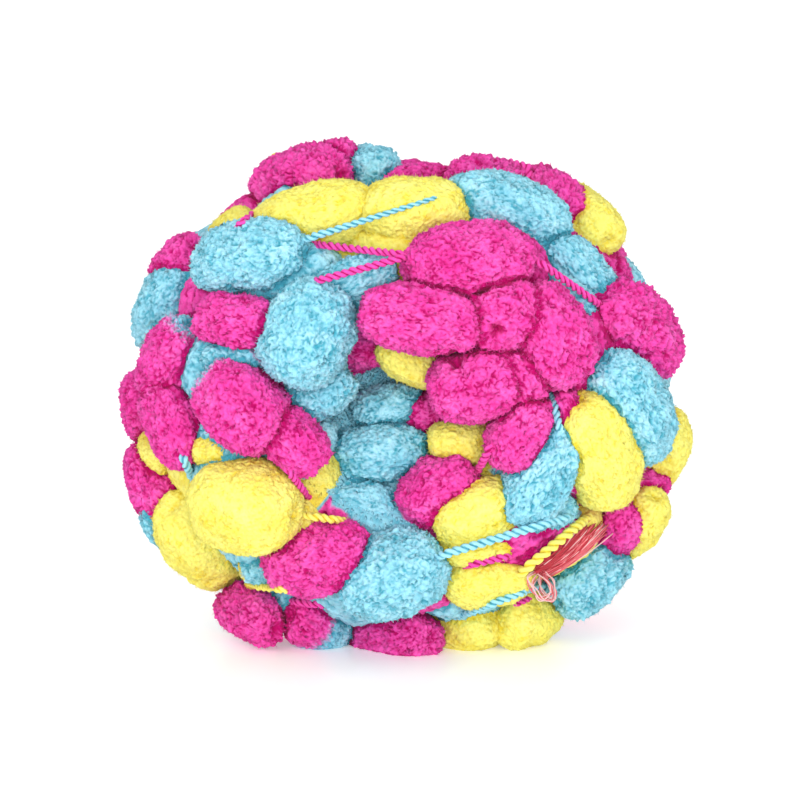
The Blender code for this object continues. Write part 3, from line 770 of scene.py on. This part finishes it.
def can_be_seen(surface, points, normals):
    """True for the points from which a straight way leads out of the ball."""
    first, second = tangents(normals)
    ways = [normals, unit(points - MIDDLE), np.broadcast_to(-LOOK, normals.shape)]
    for k in range(SIGHT_TURNS):
        turn = 2 * math.pi * k / SIGHT_TURNS
        aside = math.cos(turn) * first + math.sin(turn) * second
        ways.append(math.cos(SIGHT_TILT) * normals + math.sin(SIGHT_TILT) * aside)
    seen = np.zeros(len(points), bool)
    for way in ways:
        for i in np.flatnonzero(~seen & ((way * normals).sum(1) > 0)):
            seen[i] = surface.ray_cast(Vector(points[i]), Vector(way[i]))[0] is None
    return seen


def plain_body():
    """Places on a pompom's form, as shares of its half sizes, and the faces between them."""
    sphere = bmesh.new()
    bmesh.ops.create_icosphere(sphere, subdivisions=BODY_SUBDIVISIONS, radius=1.0)
    directions = np.array([v.co for v in sphere.verts])
    faces = np.array([[v.index for v in f.verts] for f in sphere.faces])
    sphere.free()
    fullness = (np.abs(directions) ** POMPOM_FULLNESS).sum(1, keepdims=True)
    return directions * fullness ** (-1 / POMPOM_FULLNESS), faces


def core_surface(steps, sides):
    """Points and faces of the wind's middle: the form taken in, with the well of the hollow, in which
    the points are crowded."""
    points = []
    for i in range(steps + 1):
        polar = math.pi * (i / steps) ** CORE_CROWDING
        radius = (FORM_X - CORE_SINK) * math.sin(polar)
        depth = -(FORM_Y - CORE_SINK) * math.cos(polar)
        fullness = abs(math.sin(polar)) ** FORM_ROUNDNESS + abs(math.cos(polar)) ** FORM_ROUNDNESS
        swell = fullness ** (-1 / FORM_ROUNDNESS)
        radius, depth = radius * swell, depth * swell
        if depth < 0 and radius < WELL_RADIUS:
            depth = WELL_FLOOR + (depth - WELL_FLOOR) * (radius / WELL_RADIUS) ** 2
        for k in range(sides if 0 < i < steps else 1):
            clock = 2 * math.pi * k / sides
            half_height = FORM_Z if math.sin(clock) > 0 else FORM_Z + PRESSED_FLAT
            x, z = radius * math.cos(clock), radius * math.sin(clock) * half_height / FORM_X
            points.append(MIDDLE + (x, depth, z))
    last = len(points) - 1
    faces = []
    for k in range(sides):
        after = (k + 1) % sides
        faces.append((0, 1 + k, 1 + after))
        faces.append((last, last - sides + after, last - sides + k))
        for i in range(steps - 2):
            inner, outer = 1 + i * sides, 1 + (i + 1) * sides
            faces.append((inner + k, outer + k, outer + after))
            faces.append((inner + k, outer + after, inner + after))
    return np.array(points), np.array(faces)


def surface_of(pompoms, sink):
    """What lines of sight and threads meet: the pompoms' bodies and the core."""
    shares, faces = plain_body()
    core_points, core_faces = core_surface(CORE_STEPS // 2, CORE_SIDES // 2)
    points, triangles = [core_points], [core_faces]
    start = len(core_points)
    for p in pompoms:
        points.append(p.middle + from_local(p, shares * (p.half_sizes - sink)))
        triangles.append(faces + start)
        start += len(shares)
    return BVHTree.FromPolygons(np.concatenate(points).tolist(), np.concatenate(triangles).tolist())


def in_scene(name, data):
    """A new object of the scene, with its mesh, lens or light."""
    made = bpy.data.objects.new(name, data)
    bpy.context.scene.collection.objects.link(made)
    return made


class Gathered:
    """Arrays of one piece, gathered from many small shapes: points in millimetres, the corner points of
    the faces one after another, where each face starts among them, and each point's place on the map,
    which is its place on the dye scale and its lightness: painted shade, darkest at the roots and in
    cracks, up to the plain colour of the tips, with some random tone."""

    def __init__(self):
        self.points, self.corners, self.starts, self.places = [], [], [], []
        self.point_count = self.corner_count = 0

    def add(self, points, corners, starts, places):
        self.points.append(points)
        self.corners.append(corners + self.point_count)
        self.starts.append(starts + self.corner_count)
        self.places.append(places)
        self.point_count += len(points)
        self.corner_count += len(corners)

    def add_triangles(self, points, faces, places):
        self.add(points, faces.ravel(), np.arange(0, faces.size, 3), places)

    def piece(self, name, node_name, slot, material):
        """The object made of all that was gathered, riding on the ball in place of a solid."""
        points, corners, starts, places = [
            np.concatenate(part) for part in (self.points, self.corners, self.starts, self.places)
        ]
        points[:, 2] = np.maximum(points[:, 2], 0.0)
        mesh = bpy.data.meshes.new(name)
        mesh.vertices.add(len(points))
        mesh.vertices.foreach_set("co", (points * MM).astype(np.float32).ravel())
        mesh.loops.add(len(corners))
        mesh.loops.foreach_set("vertex_index", corners.astype(np.int32))
        mesh.polygons.add(len(starts))
        mesh.polygons.foreach_set("loop_start", starts.astype(np.int32))
        mesh.polygons.foreach_set("use_smooth", np.ones(len(starts), bool))
        mesh.update(calc_edges=True)
        layer = mesh.uv_layers.new(name=DYE_MAP)
        on_map = places.clip(*MAP_EDGES)[corners]
        layer.uv.foreach_set("vector", on_map.astype(np.float32).ravel())
        mesh.materials.append(material)
        piece = in_scene(name, mesh)
        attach(piece, BODY)
        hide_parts(node_name)


def closed_faces(directions):
    """Triangles of a closed surface over scattered directions, the last of which is straight down: a flat
    triangulation of their stereographic picture from there, closed round that last point."""
    last = len(directions) - 1
    flat = directions[:last, :2] / (1 + directions[:last, 2:])
    faces = np.array(delaunay_2d_cdt([Vector(place) for place in flat], [], [], 0, 0.0, False)[2])
    edges = np.concatenate([faces[:, (0, 1)], faces[:, (1, 2)], faces[:, (2, 0)]])
    one_way = edges[:, 0] * last + edges[:, 1]
    other_way = edges[:, 1] * last + edges[:, 0]
    rim = edges[~np.isin(one_way, other_way)]
    return np.concatenate([faces, np.stack([rim[:, 1], rim[:, 0], np.full(len(rim), last)], 1)])


def curds_round(p, shares, curds, shown):
    """For the places of a pompom that belong to a curd that shows: their shares, each one's own curd and
    the distance to it, and how much of a crack is there."""
    places = on_form(p, shares)[0]
    wander = np.stack([waves(places, WANDER_LENGTHS) for _ in range(3)], 1)
    own, other, to_own, to_other = two_nearest(places + CURD_WANDER * wander, curds)
    keep = shown[own]
    own, other, to_own, to_other = own[keep], other[keep], to_own[keep], to_other[keep]
    openness = rng.uniform(0, 1, len(curds))
    opening = LEAST_CRACK + (1 - LEAST_CRACK) * openness[own] * openness[other]
    return shares[keep], own, to_own, opening * np.exp(-(((to_other - to_own) / CRACK_WIDTH) ** 2))


def pile_heights(p, shares, places, normals, curds, own, from_curd, crack, crease):
    """How high the pile stands at each place of a pompom, and how deep it lies in cracks, end dimples and
    eyelets, which is painted in as shade.
    """
    count = len(curds)
    rise = rng.normal(0, CURD_RISE, count)
    lean = rng.normal(0, CURD_LEAN, (count, 3))
    offset = places - curds[own]
    heights = rise[own] + (lean[own] * offset).sum(1)
    heights -= CURD_ROUNDING * from_curd**2 + CRACK_DEPTH * crack + CREASE_DEPTH * crease
    heights += rng.normal(0, POINT_UNEVENNESS, len(places))
    heights *= LIVELINESS[p.colour]
    soft = waves(places, SWELL_LENGTHS)
    heights += SWELL * soft
    if p.ridged:
        across = shares[:, 0] * p.half_sizes[0] * 2 * math.pi / RIDGE_PITCH
        heights += RIDGE_HEIGHT * np.sin(across + RIDGE_BEND * soft)
    near_end = ((np.abs(shares[:, 0]) - RAYS_BEGIN) / (1 - RAYS_BEGIN)).clip(0, 1)
    from_end = np.hypot(shares[:, 1] * p.half_sizes[1], shares[:, 2] * p.half_sizes[2])
    clock = np.arctan2(shares[:, 2], shares[:, 1])
    rays = np.sin(END_RAYS * clock + RAY_BEND * soft) * (from_end / END_DIMPLE_WIDTH).clip(0, 1)
    heights += RAY_HEIGHT * LIVELINESS[p.colour] * near_end * rays
    drawn_in = (near_end > 0) * np.exp(-((from_end / END_DIMPLE_WIDTH) ** 2))
    heights -= END_DIMPLE * drawn_in
    eyelet_painted_shade = np.zeros(len(places))
    if p.pictured and p.colour == "pink":
        seen_at = in_picture(places)
        for eyelet in EYELETS:
            aside = np.hypot(seen_at[:, 0] - eyelet.across, seen_at[:, 1] - eyelet.up)
            share = np.exp(-((aside / eyelet.width) ** 4)) * (normals @ LOOK < 0)
            heights -= eyelet.depth * share
            # Painted shade in the eyelet's hollow
            eyelet_painted_shade += EYELET_PAINTED_SHADE * share
    # Cracks, end dimples and eyelets, all painted darker as shade
    return heights, (crack + DIMPLE_PAINTED_SHADE * drawn_in + eyelet_painted_shade) * LIVELINESS[p.colour]


def pile_of(pompoms, number, surface):
    """One pompom's surface and fuzz: points, faces and places on the map of each, or nothing where no
    part of it shows."""
    p = pompoms[number]
    pile = FRONT_PILE if p.pictured else OTHER_PILE
    curds, curd_normals = on_form(p, scattered(p, pile.curd_space))
    shown = in_a_neighbour(pompoms, number, curds) > BURIED
    starts = curds[shown] + SIGHT_START * curd_normals[shown]
    shown[shown] = can_be_seen(surface, starts, curd_normals[shown])
    if not shown.any():
        return None
    shares, own, to_own, crack = curds_round(p, scattered(p, pile.space), curds, shown)
    from_curd = to_own / (pile.curd_space / 2)
    places, normals = on_form(p, shares)
    clear = (in_a_neighbour(pompoms, number, places) - 1).clip(0)
    crease = np.exp(-((clear / CREASE_WIDTH) ** 2))
    heights, crack = pile_heights(p, shares, places, normals, curds, own, from_curd, crack, crease)

    hidden = scattered(p, HIDDEN_PILE_SPACE)
    hidden = hidden[unit(hidden)[:, 2] > LOWEST_HIDDEN]
    hidden = hidden[~shown[squared_distances(on_form(p, hidden)[0], curds).argmin(1)]]
    hidden = np.concatenate([hidden, [(0.0, 0.0, -1.0)]])
    hidden_places, hidden_normals = on_form(p, hidden)
    all_shares = np.concatenate([shares, hidden])
    pile_points = places + heights[:, None] * normals
    points = np.concatenate([pile_points, hidden_places - BODY_SINK * hidden_normals])
    faces = closed_faces(unit(all_shares))

    dye = dye_place(p, all_shares[:, 0] + rng.normal(0, CHANGE_FRAYING, len(all_shares)))
    dye += DYE_PATCHES * waves(points, SWELL_LENGTHS) + rng.normal(0, DYE_SPECKS, len(points))
    # Painted shade: darker on the rims of the curds, in their cracks, in the creases where pompoms meet
    # and on hidden places
    lightness = TOP_LIGHTNESS - RIM_PAINTED_SHADE * from_curd.clip(0, 1) ** 2 - CRACK_PAINTED_SHADE * crack
    lightness -= CREASE_PAINTED_SHADE * LIVELINESS[p.colour] * crease
    lightness += rng.normal(0, CURD_SHADES, len(curds))[own] + rng.normal(0, POINT_SHADES, len(places))
    lightness = np.concatenate([lightness, np.full(len(hidden), HIDDEN_SHADED_LIGHTNESS)])
    lightness += PATCH_SHADES * waves(points, SWELL_LENGTHS)

    fuzzy = (rng.uniform(0, 1, len(places)) < pile.fuzz_share) & (crack < FUZZ_MOST_CRACK)
    fuzzy = np.flatnonzero(fuzzy)
    fuzz = fuzz_arrays(points[fuzzy], normals[fuzzy], dye[fuzzy], FUZZ_WIDTH, FUZZ_HEIGHTS)
    return points, faces, np.stack([dye, lightness], 1), fuzz


def fuzz_arrays(roots, normals, dye, width, heights):
    """Closed three-sided spikes that stand out of the pile, painted in shade at their roots."""
    count = len(roots)
    first, second = tangents(normals)
    turn = rng.uniform(0, 2 * math.pi, count)
    points = np.empty((count, 4, 3))
    on_map = np.empty((count, 4, 2))
    for k in range(3):
        angle = turn + k * 2 * math.pi / 3
        aside = np.cos(angle)[:, None] * first + np.sin(angle)[:, None] * second
        points[:, k] = roots - FUZZ_ROOT * normals + width / 2 * aside
        on_map[:, k, 0] = dye + rng.normal(0, FUZZ_DYE_SPECKS, count)
        # Painted shade at the spike's roots
        on_map[:, k, 1] = rng.uniform(*FUZZ_ROOT_PAINTED_SHADES, count)
    points[:, 3] = roots + rng.uniform(*heights, count)[:, None] * normals
    points[:, 3] += rng.normal(0, FUZZ_LEAN, (count, 3))
    on_map[:, 3, 0] = dye
    on_map[:, 3, 1] = rng.uniform(*FUZZ_TIP_SHADES, count)
    corners = np.array(((0, 1, 3), (1, 2, 3), (2, 0, 3), (2, 1, 0)))
    faces = (np.arange(count)[:, None, None] * 4 + corners).reshape(-1, 3)
    return points.reshape(-1, 3), faces, on_map.reshape(-1, 2)


def part_of_ball(p):
    if p.middle[1] > MIDDLE[1]:
        return "back"
    return "front_left" if p.middle[0] < MIDDLE[0] else "front_right"


def build_pile(pompoms, material):
    surface = surface_of(pompoms, BODY_SINK)
    gathered = {}
    for number, p in enumerate(pompoms):
        pile = pile_of(pompoms, number, surface)
        if pile is None:
            continue
        points, faces, on_map, fuzz = pile
        piece = gathered.setdefault(f"pile_{p.colour}_{part_of_ball(p)}", Gathered())
        piece.add_triangles(points, faces, on_map)
        piece.add_triangles(*fuzz)
    for name, arrays in sorted(gathered.items()):
        arrays.piece(name, "yarn_ball", "pompom_yarn", material)


def build_core(pompoms, material):
    """The middle of the wind, which shows only down between the pompoms, painted half in shade."""
    points, faces = core_surface(CORE_STEPS, CORE_SIDES)
    middles = np.array([p.middle for p in pompoms])
    lengths = np.array([p.half_sizes[0] for p in pompoms])
    dyes = np.array([DYE_PLACES[p.colour] for p in pompoms])
    nearest = (squared_distances(points, middles) / lengths**2).argmin(1)
    dye = dyes[nearest] + rng.normal(0, PLAIN_DYE_SPECKS, len(points))
    lumps = waves(points, CORE_LUMP_LENGTHS) + waves(points, CORE_LUMP_LENGTHS)
    uneven = rng.normal(size=len(points))
    points = points + (CORE_LUMPS * lumps + CORE_UNEVENNESS * uneven)[:, None] * unit(points - MIDDLE)
    # Painted shade: the core is half in shade, darker in its dips and lighter on its lumps
    lightness = CORE_SHADED_LIGHTNESS + CORE_LUMP_PAINTED_SHADES * lumps + CORE_POINT_PAINTED_SHADES * uneven
    core = Gathered()
    core.add_triangles(points, faces, np.stack([dye, lightness], 1))
    aside = points - MIDDLE
    in_well = (aside[:, 1] < WELL_FLOOR) & (np.hypot(aside[:, 0], aside[:, 2]) < WELL_RADIUS)
    towards = unit(unit(aside[in_well]) - LOOK)
    tufts = fuzz_arrays(points[in_well], towards, dye[in_well], CORE_TUFT_WIDTH, CORE_TUFT_HEIGHTS)
    core.add_triangles(*tufts)
    core.piece("wound_core", "yarn_ball", "pompom_yarn", material)


def sight_distance(surface, across, up, spread):
    """How far the eye sees along a line, and along four more beside it, before it meets the surface."""
    beside = ((0, 0), (spread, 0), (-spread, 0), (0, spread), (0, -spread))
    lines = [sight_line(across + more_across, up + more_up) for more_across, more_up in beside]
    reaches = [surface.ray_cast(Vector(EYE), Vector(line))[3] for line in lines]
    return min(reach for reach in reaches if reach is not None)


def pulled_taut(depths):
    """Depths along a thread once it is pulled tight: no lower than a straight span between two."""
    last = len(depths) - 1
    taut = []
    for i in range(last + 1):
        spans = [
            depths[j] + (depths[k] - depths[j]) * (i - j) / (k - j)
            for j in range(i)
            for k in range(i + 1, last + 1)
        ]
        taut.append(min(spans + [depths[i]]))
    return taut


def taut_over(surface, across_up, rise, spread):
    """Points of a thread pulled tight over a surface, from its places in the picture plane."""
    depths = pulled_taut([sight_distance(surface, *place, spread) - rise for place in across_up])
    return np.array([EYE + depth * sight_line(*place) for depth, place in zip(depths, across_up)])


def link_steps(start, end):
    """Places from one end of a link to the other."""
    steps = max(LEAST_LINK_STEPS, round(math.dist(start, end) / LINK_STEP))
    return np.linspace(start, end, steps + 1)


def front_link_path(surface, link):
    """A link pulled taut over the front, its ends sunk into the pile."""
    start = np.array((link.from_across, link.from_up), float)
    end = np.array((link.to_across, link.to_up), float)
    points = taut_over(surface, link_steps(start, end), link.rise, 0.0)
    points[0] += LINK_END_SINK * sight_line(*start)
    points[-1] += LINK_END_SINK * sight_line(*end)
    return points


def round_link_path(surface, link):
    """A link pulled taut over the sides or the back, its ends sunk into the pile."""
    start = form_ray(math.radians(link.from_polar), math.radians(link.from_clock))
    end = form_ray(math.radians(link.to_polar), math.radians(link.to_clock))
    rays = unit(link_steps(start, end))
    starts = MIDDLE + BALL_WIDTH * rays
    depths = pulled_taut([surface.ray_cast(Vector(at), Vector(-ray))[3] for at, ray in zip(starts, rays)])
    depths[0] += LINK_END_SINK
    depths[-1] += LINK_END_SINK
    return starts - np.array(depths)[:, None] * rays


def smooth_path(corners, steps):
    """A rounded path through corner points, by Catmull-Rom spans."""
    corners = np.asarray(corners, float)
    padded = np.concatenate([corners[:1], corners, corners[-1:]])
    share = (np.arange(steps) / steps)[:, None]
    path = []
    for before, start, end, after in zip(padded, padded[1:], padded[2:], padded[3:]):
        bend = 2 * before - 5 * start + 4 * end - after
        twist = 3 * start - before - 3 * end + after
        path.append(0.5 * (2 * start + share * (end - before) + share**2 * bend + share**3 * twist))
    return np.concatenate(path + [corners[-1:]])


def frames_along(points):
    """Two directions square to a path at each of its points, carried along without twist."""
    forward = unit(np.gradient(points, axis=0))
    across = np.empty_like(points)
    last = LOOK + SLIGHTLY_ASIDE * RIGHT
    for i, direction in enumerate(forward):
        last = unit(last - (last @ direction) * direction)
        across[i] = last
    return across, np.cross(forward, across)


def tube_arrays(points, diameter, sides):
    """Points of a closed round tube along a path, and the angle of each, then its faces."""
    across, beside = frames_along(points)
    angles = 2 * math.pi * np.arange(sides) / sides
    rim = np.cos(angles)[:, None] * across[:, None] + np.sin(angles)[:, None] * beside[:, None]
    rings = len(points)
    before = np.arange((rings - 1) * sides)
    after = before - before % sides + (before + 1) % sides
    quads = np.stack([before, after, after + sides, before + sides], 1)
    caps = [np.arange(sides)[::-1], (rings - 1) * sides + np.arange(sides)]
    corners = np.concatenate([quads.ravel(), *caps])
    starts = np.concatenate([np.arange(len(quads)) * 4, len(quads) * 4 + np.array((0, sides))])
    return points[:, None] + diameter / 2 * rim, rim, corners, starts


def add_link(gathered, path, colour, size, left):
    """Two plies twisted round each other along a path, thinner towards its far end."""
    points = smooth_path(path, STEPS_IN_A_SPAN)
    run = np.concatenate([[0.0], np.cumsum(np.linalg.norm(np.diff(points, axis=0), axis=1))])
    sizes = size * (1 + (left - 1) * run / run[-1])[:, None]
    across, beside = frames_along(points)
    for half_turn in (0.0, math.pi):
        turn = (2 * math.pi * run / (PLY_PITCH * size) + half_turn)[:, None]
        outward = np.cos(turn) * across + np.sin(turn) * beside
        ply = points + PLY_OFFSET * sizes * outward
        thickness = PLY_DIAMETER * sizes * (1 + PLY_SWELL * (2 * np.abs(np.sin(turn)) - 1))
        shape, rim, corners, starts = tube_arrays(ply, thickness[:, :, None], PLY_SIDES)
        shape = shape + rng.normal(0, PLY_UNEVENNESS, shape.shape[:2])[:, :, None] * rim
        outside = np.sqrt((rim * outward[:, None]).sum(2).clip(0, 1))
        dye = DYE_PLACES[colour] + rng.normal(0, PLAIN_DYE_SPECKS, outside.shape)
        # Painted shade: the groove where the plies meet is darker than their backs
        lightness = SHADED_GROOVE_LIGHTNESS + (BACK_LIGHTNESS - SHADED_GROOVE_LIGHTNESS) * outside
        lightness += rng.normal(0, PLY_SHADES, outside.shape)
        on_map = np.stack([dye, lightness], 2)
        gathered.add(shape.reshape(-1, 3), corners, starts, on_map.reshape(-1, 2))


def build_links(surface, material):
    gathered = {}
    for link in FRONT_LINKS:
        same_dye = gathered.setdefault(link.colour, Gathered())
        add_link(same_dye, front_link_path(surface, link), link.colour, link.size, link.left)
    for link in ROUND_LINKS:
        same_dye = gathered.setdefault(link.colour, Gathered())
        add_link(same_dye, round_link_path(surface, link), link.colour, 1.0, 1.0)
    for colour, arrays in sorted(gathered.items()):
        arrays.piece(f"links_{colour}", "yarn_ball", "pompom_yarn", material)


def fan_path(surface, share):
    """One thread of the fan, from a place in the knot to its end."""
    aside = np.array((math.sin(KNOT_TURN), -math.cos(KNOT_TURN)))
    root = np.array(KNOT) + KNOT_SPREAD * (0.5 - share) * aside
    root += rng.normal(0, KNOT_LOOSENESS * KNOT_SPREAD, 2)
    end = np.array(FAN_FIRST_END) * (1 - share) + np.array(FAN_LAST_END) * share
    end += rng.normal(0, FAN_LOOSENESS, 2)
    run = np.linspace(0, 1, THREAD_STEPS + 1)[:, None]
    bow = np.array(FAN_BOW_WAY) * FAN_BOW * rng.uniform(*FAN_BOW_SHARES)
    places = root * (1 - run) + end * run + bow * np.sin(math.pi * run)
    points = taut_over(surface, places, THREAD_RISE, THREAD_SPREAD)
    lift = rng.uniform(0, BUNDLE_HEIGHT) * (1 - FAN_SETTLING * run)
    return points - lift * LOOK


def loop_path(surface, corners):
    """One thread of a loop below the knot."""
    loose = corners + rng.normal(0, LOOP_LOOSENESS, corners.shape)
    points = taut_over(surface, smooth_path(loose, LOOP_SPAN_STEPS), THREAD_RISE, THREAD_SPREAD)
    return points - rng.uniform(0, BUNDLE_HEIGHT / 2) * LOOK


def knot_path(surface):
    """The turns of thread that hold the tuft together."""
    middle = taut_over(surface, [KNOT], THREAD_RISE + BUNDLE_HEIGHT / 2, KNOT_RADIUS)[0]
    along = math.cos(KNOT_TURN) * RIGHT + math.sin(KNOT_TURN) * UPWARD
    side = math.cos(KNOT_TURN) * UPWARD - math.sin(KNOT_TURN) * RIGHT
    turn = np.linspace(0, 2 * math.pi * KNOT_TURNS, KNOT_TURNS * THREAD_STEPS)[:, None]
    forward = (turn / (2 * math.pi) - KNOT_TURNS / 2) * THREAD_DIAMETER * KNOT_PITCH
    return middle + forward * along + KNOT_RADIUS * (np.cos(turn) * side - np.sin(turn) * LOOK)


def build_tuft(surface):
    threads = [("thread_coral", knot_path(surface))]
    for number in range(FAN_THREADS):
        share = (number + rng.uniform(*PLACE_JITTER)) / FAN_THREADS
        place = min(max(share + rng.uniform(-FAN_KIND_JITTER, FAN_KIND_JITTER), 0.0), ALMOST_ONE)
        threads.append((FAN_KINDS[int(place * len(FAN_KINDS))], fan_path(surface, share)))
    for across, up in zip(LOOP_ACROSS, LOOP_UP):
        corners = np.stack([across, up], 1)
        threads += [(kind, loop_path(surface, corners)) for kind in LOOP_KINDS]
    for name, colour in THREAD_COLOURS.items():
        gathered = Gathered()
        for kind, path in threads:
            if kind == name:
                shape, rim, corners, starts = tube_arrays(path, THREAD_DIAMETER, THREAD_SIDES)
                on_map = rng.uniform(0, 1, (*shape.shape[:2], 2))
                gathered.add(shape.reshape(-1, 3), corners, starts, on_map.reshape(-1, 2))
        gathered.piece(name, "thread_tuft", "sewing_thread", thread_material(name, colour))


def node(tree, kind, **values):
    """A shader node with the given settings and input values, and linked from the given sockets."""
    made = tree.nodes.new(kind)
    for name, value in values.items():
        if isinstance(value, bpy.types.NodeSocket):
            tree.links.new(value, made.inputs[name])
        elif name in made.inputs:
            made.inputs[name].default_value = value
        else:
            setattr(made, name, value)
    return made


def ramp(tree, value, stops):
    """The colour of a value from 0 to 1, by the colours at some places on the way."""
    made = node(tree, "ShaderNodeValToRGB", Fac=value)
    elements = made.color_ramp.elements
    while len(elements) > 1:
        elements.remove(elements[-1])
    elements[0].position = stops[0][0]
    elements[0].color = (*stops[0][1], 1.0)
    for position, colour in stops[1:]:
        elements.new(position).color = (*colour, 1.0)
    return made.outputs["Color"]


def spread_of(tree, value, low, high):
    """A value from 0 to 1 spread over a range."""
    made = node(tree, "ShaderNodeMapRange", Value=value, **{"To Min": low, "To Max": high})
    return made.outputs["Result"]


def new_material(name, finish):
    material = bpy.data.materials.new(name)
    material.use_nodes = True
    tree = material.node_tree
    shader = tree.nodes["Principled BSDF"]
    shader.inputs["Sheen Weight"].default_value = finish.sheen
    shader.inputs["Specular IOR Level"].default_value = finish.gloss
    return material, tree, shader


def add_fibres(tree, shader, finish):
    """Fine fibres that roughen a surface, by a noise fixed to the object. Gives back their bump."""
    place = node(tree, "ShaderNodeTexCoord").outputs["Object"]
    noise = node(tree, "ShaderNodeTexNoise", Vector=place, Scale=finish.scale, **FIBRE_NOISE)
    fibres = noise.outputs["Fac"]
    bump = node(tree, "ShaderNodeBump", Strength=finish.strength, Distance=finish.depth, Height=fibres)
    tree.links.new(bump.outputs["Normal"], shader.inputs["Normal"])
    tree.links.new(spread_of(tree, fibres, *finish.roughness), shader.inputs["Roughness"])
    return bump


def add_tufts(tree, fibres, depth):
    """Small round tufts under the fibres: cells fixed to the object, each a little dome."""
    place = node(tree, "ShaderNodeTexCoord").outputs["Object"]
    domes = node(tree, "ShaderNodeTexVoronoi", feature="SMOOTH_F1", Vector=place, **TUFT_CELLS)
    height = domes.outputs["Distance"]
    bump = node(tree, "ShaderNodeBump", invert=True, Strength=TUFT_STRENGTH, Distance=depth, Height=height)
    tree.links.new(bump.outputs["Normal"], fibres.inputs["Normal"])


def dyed_material(name, finish):
    """Dyed yarn, its dye by the piece's own map: the yarn's own colour at the tips, and painted shade,
    deep and saturated, where the map's lightness falls at the roots and in cracks.
    """
    material, tree, shader = new_material(name, finish)
    dye_map = node(tree, "ShaderNodeUVMap", uv_map=DYE_MAP).outputs["UV"]
    parts = node(tree, "ShaderNodeSeparateXYZ", Vector=dye_map)
    tip = ramp(tree, parts.outputs["X"], TIP_COLOURS)
    # Painted shade: the root colours darken the yarn where the map's lightness is low
    root = ramp(tree, parts.outputs["X"], SHADED_ROOT_COLOURS)
    heights = {"From Min": FULL_SHADE_LIGHTNESS, "From Max": UNSHADED_LIGHTNESS, "Value": parts.outputs["Y"]}
    rise = node(tree, "ShaderNodeMapRange", interpolation_type="SMOOTHSTEP", **heights).outputs["Result"]
    blend = node(tree, "ShaderNodeMix", data_type="RGBA", Factor=rise, A=root, B=tip).outputs["Result"]
    streaks = node(tree, "ShaderNodeTexNoise", Vector=dye_map, **STREAK_NOISE).outputs["Fac"]
    shaded = node(tree, "ShaderNodeMix", data_type="RGBA", blend_type="MULTIPLY", Factor=1.0, A=blend)
    tree.links.new(spread_of(tree, streaks, *STREAK_SHADES), shaded.inputs["B"])
    tree.links.new(shaded.outputs["Result"], shader.inputs["Base Color"])
    add_tufts(tree, add_fibres(tree, shader, finish), TUFT_DEPTH * finish.depth)
    return material


def thread_material(name, colour):
    """Fine matt thread, a little lighter and darker along its length."""
    material, tree, shader = new_material(name, THREAD_FINISH)
    dye_map = node(tree, "ShaderNodeUVMap", uv_map=DYE_MAP).outputs["UV"]
    patches = node(tree, "ShaderNodeTexNoise", Vector=dye_map, **THREAD_NOISE).outputs["Fac"]
    dark = tuple(THREAD_DARK * part for part in colour)
    light = tuple(min(1.0, THREAD_LIGHT * part + THREAD_PALENESS) for part in colour)
    shades = ramp(tree, patches, tuple(zip(THREAD_SHADE_PLACES, (dark, light))))
    tree.links.new(shades, shader.inputs["Base Color"])
    add_fibres(tree, shader, THREAD_FINISH)
    return material


def build_sweep():
    """The studio's pale floor, curved up into its backdrop."""
    profile = [(SWEEP_FRONT, 0.0)]
    for i in range(SWEEP_STEPS + 1):
        angle = math.pi / 2 * i / SWEEP_STEPS
        across = SWEEP_BEND + SWEEP_RADIUS * math.sin(angle)
        profile.append((across, SWEEP_RADIUS * (1 - math.cos(angle))))
    profile.append((SWEEP_BEND + SWEEP_RADIUS, SWEEP_TOP))
    shape = bmesh.new()
    left, right = [
        [shape.verts.new((side * SWEEP_HALF_WIDTH, y, z)) for y, z in profile] for side in (-1, 1)
    ]
    for i in range(len(profile) - 1):
        shape.faces.new((left[i], right[i], right[i + 1], left[i + 1])).smooth = True
    mesh = bpy.data.meshes.new("studio_sweep")
    shape.to_mesh(mesh)
    shape.free()
    material, tree, shader = new_material("studio_sweep", SWEEP_FINISH)
    shader.inputs["Base Color"].default_value = (SWEEP_SHADE, SWEEP_SHADE, SWEEP_SHADE, 1.0)
    shader.inputs["Emission Color"].default_value = WHITE
    shader.inputs["Emission Strength"].default_value = SWEEP_GLOW
    grain = node(tree, "ShaderNodeTexNoise", Scale=SWEEP_FINISH.scale, Detail=4.0).outputs["Fac"]
    tree.links.new(spread_of(tree, grain, *SWEEP_FINISH.roughness), shader.inputs["Roughness"])
    mesh.materials.append(material)
    in_scene("studio_sweep", mesh)


def add_camera():
    lens = bpy.data.cameras.new("camera")
    lens.lens = LENS
    lens.sensor_width = SENSOR
    camera = in_scene("camera", lens)
    at = EYE + FRAME_SHIFT[0] * RIGHT + FRAME_SHIFT[1] * UPWARD
    turn = Matrix((RIGHT, UPWARD, -LOOK)).transposed().to_4x4()
    camera.matrix_world = Matrix.Translation(at * MM) @ turn
    bpy.context.scene.camera = camera


def add_light():
    scene = bpy.context.scene
    scene.world = bpy.data.worlds.new("studio")
    scene.world.use_nodes = True
    background = scene.world.node_tree.nodes["Background"]
    background.inputs["Color"].default_value = WHITE
    background.inputs["Strength"].default_value = WORLD_STRENGTH
    for row in LAMPS:
        light = bpy.data.lights.new(row.name, "AREA")
        light.energy = row.energy
        light.size = row.size
        lamp = in_scene(row.name, light)
        lamp.location = row.place
        lamp.rotation_euler = (Vector(LAMP_TARGET) - lamp.location).to_track_quat("-Z", "Y").to_euler()
    scene.view_settings.view_transform = "Standard"


add_camera()
all_turns = all_pompoms()
pile_material = dyed_material("pompom_pile", PILE_FINISH)
build_pile(all_turns, pile_material)
build_core(all_turns, pile_material)
outer_surface = surface_of(all_turns, 0.0)
build_links(outer_surface, dyed_material("link_yarn", LINK_FINISH))
build_tuft(outer_surface)
build_sweep()
add_light()
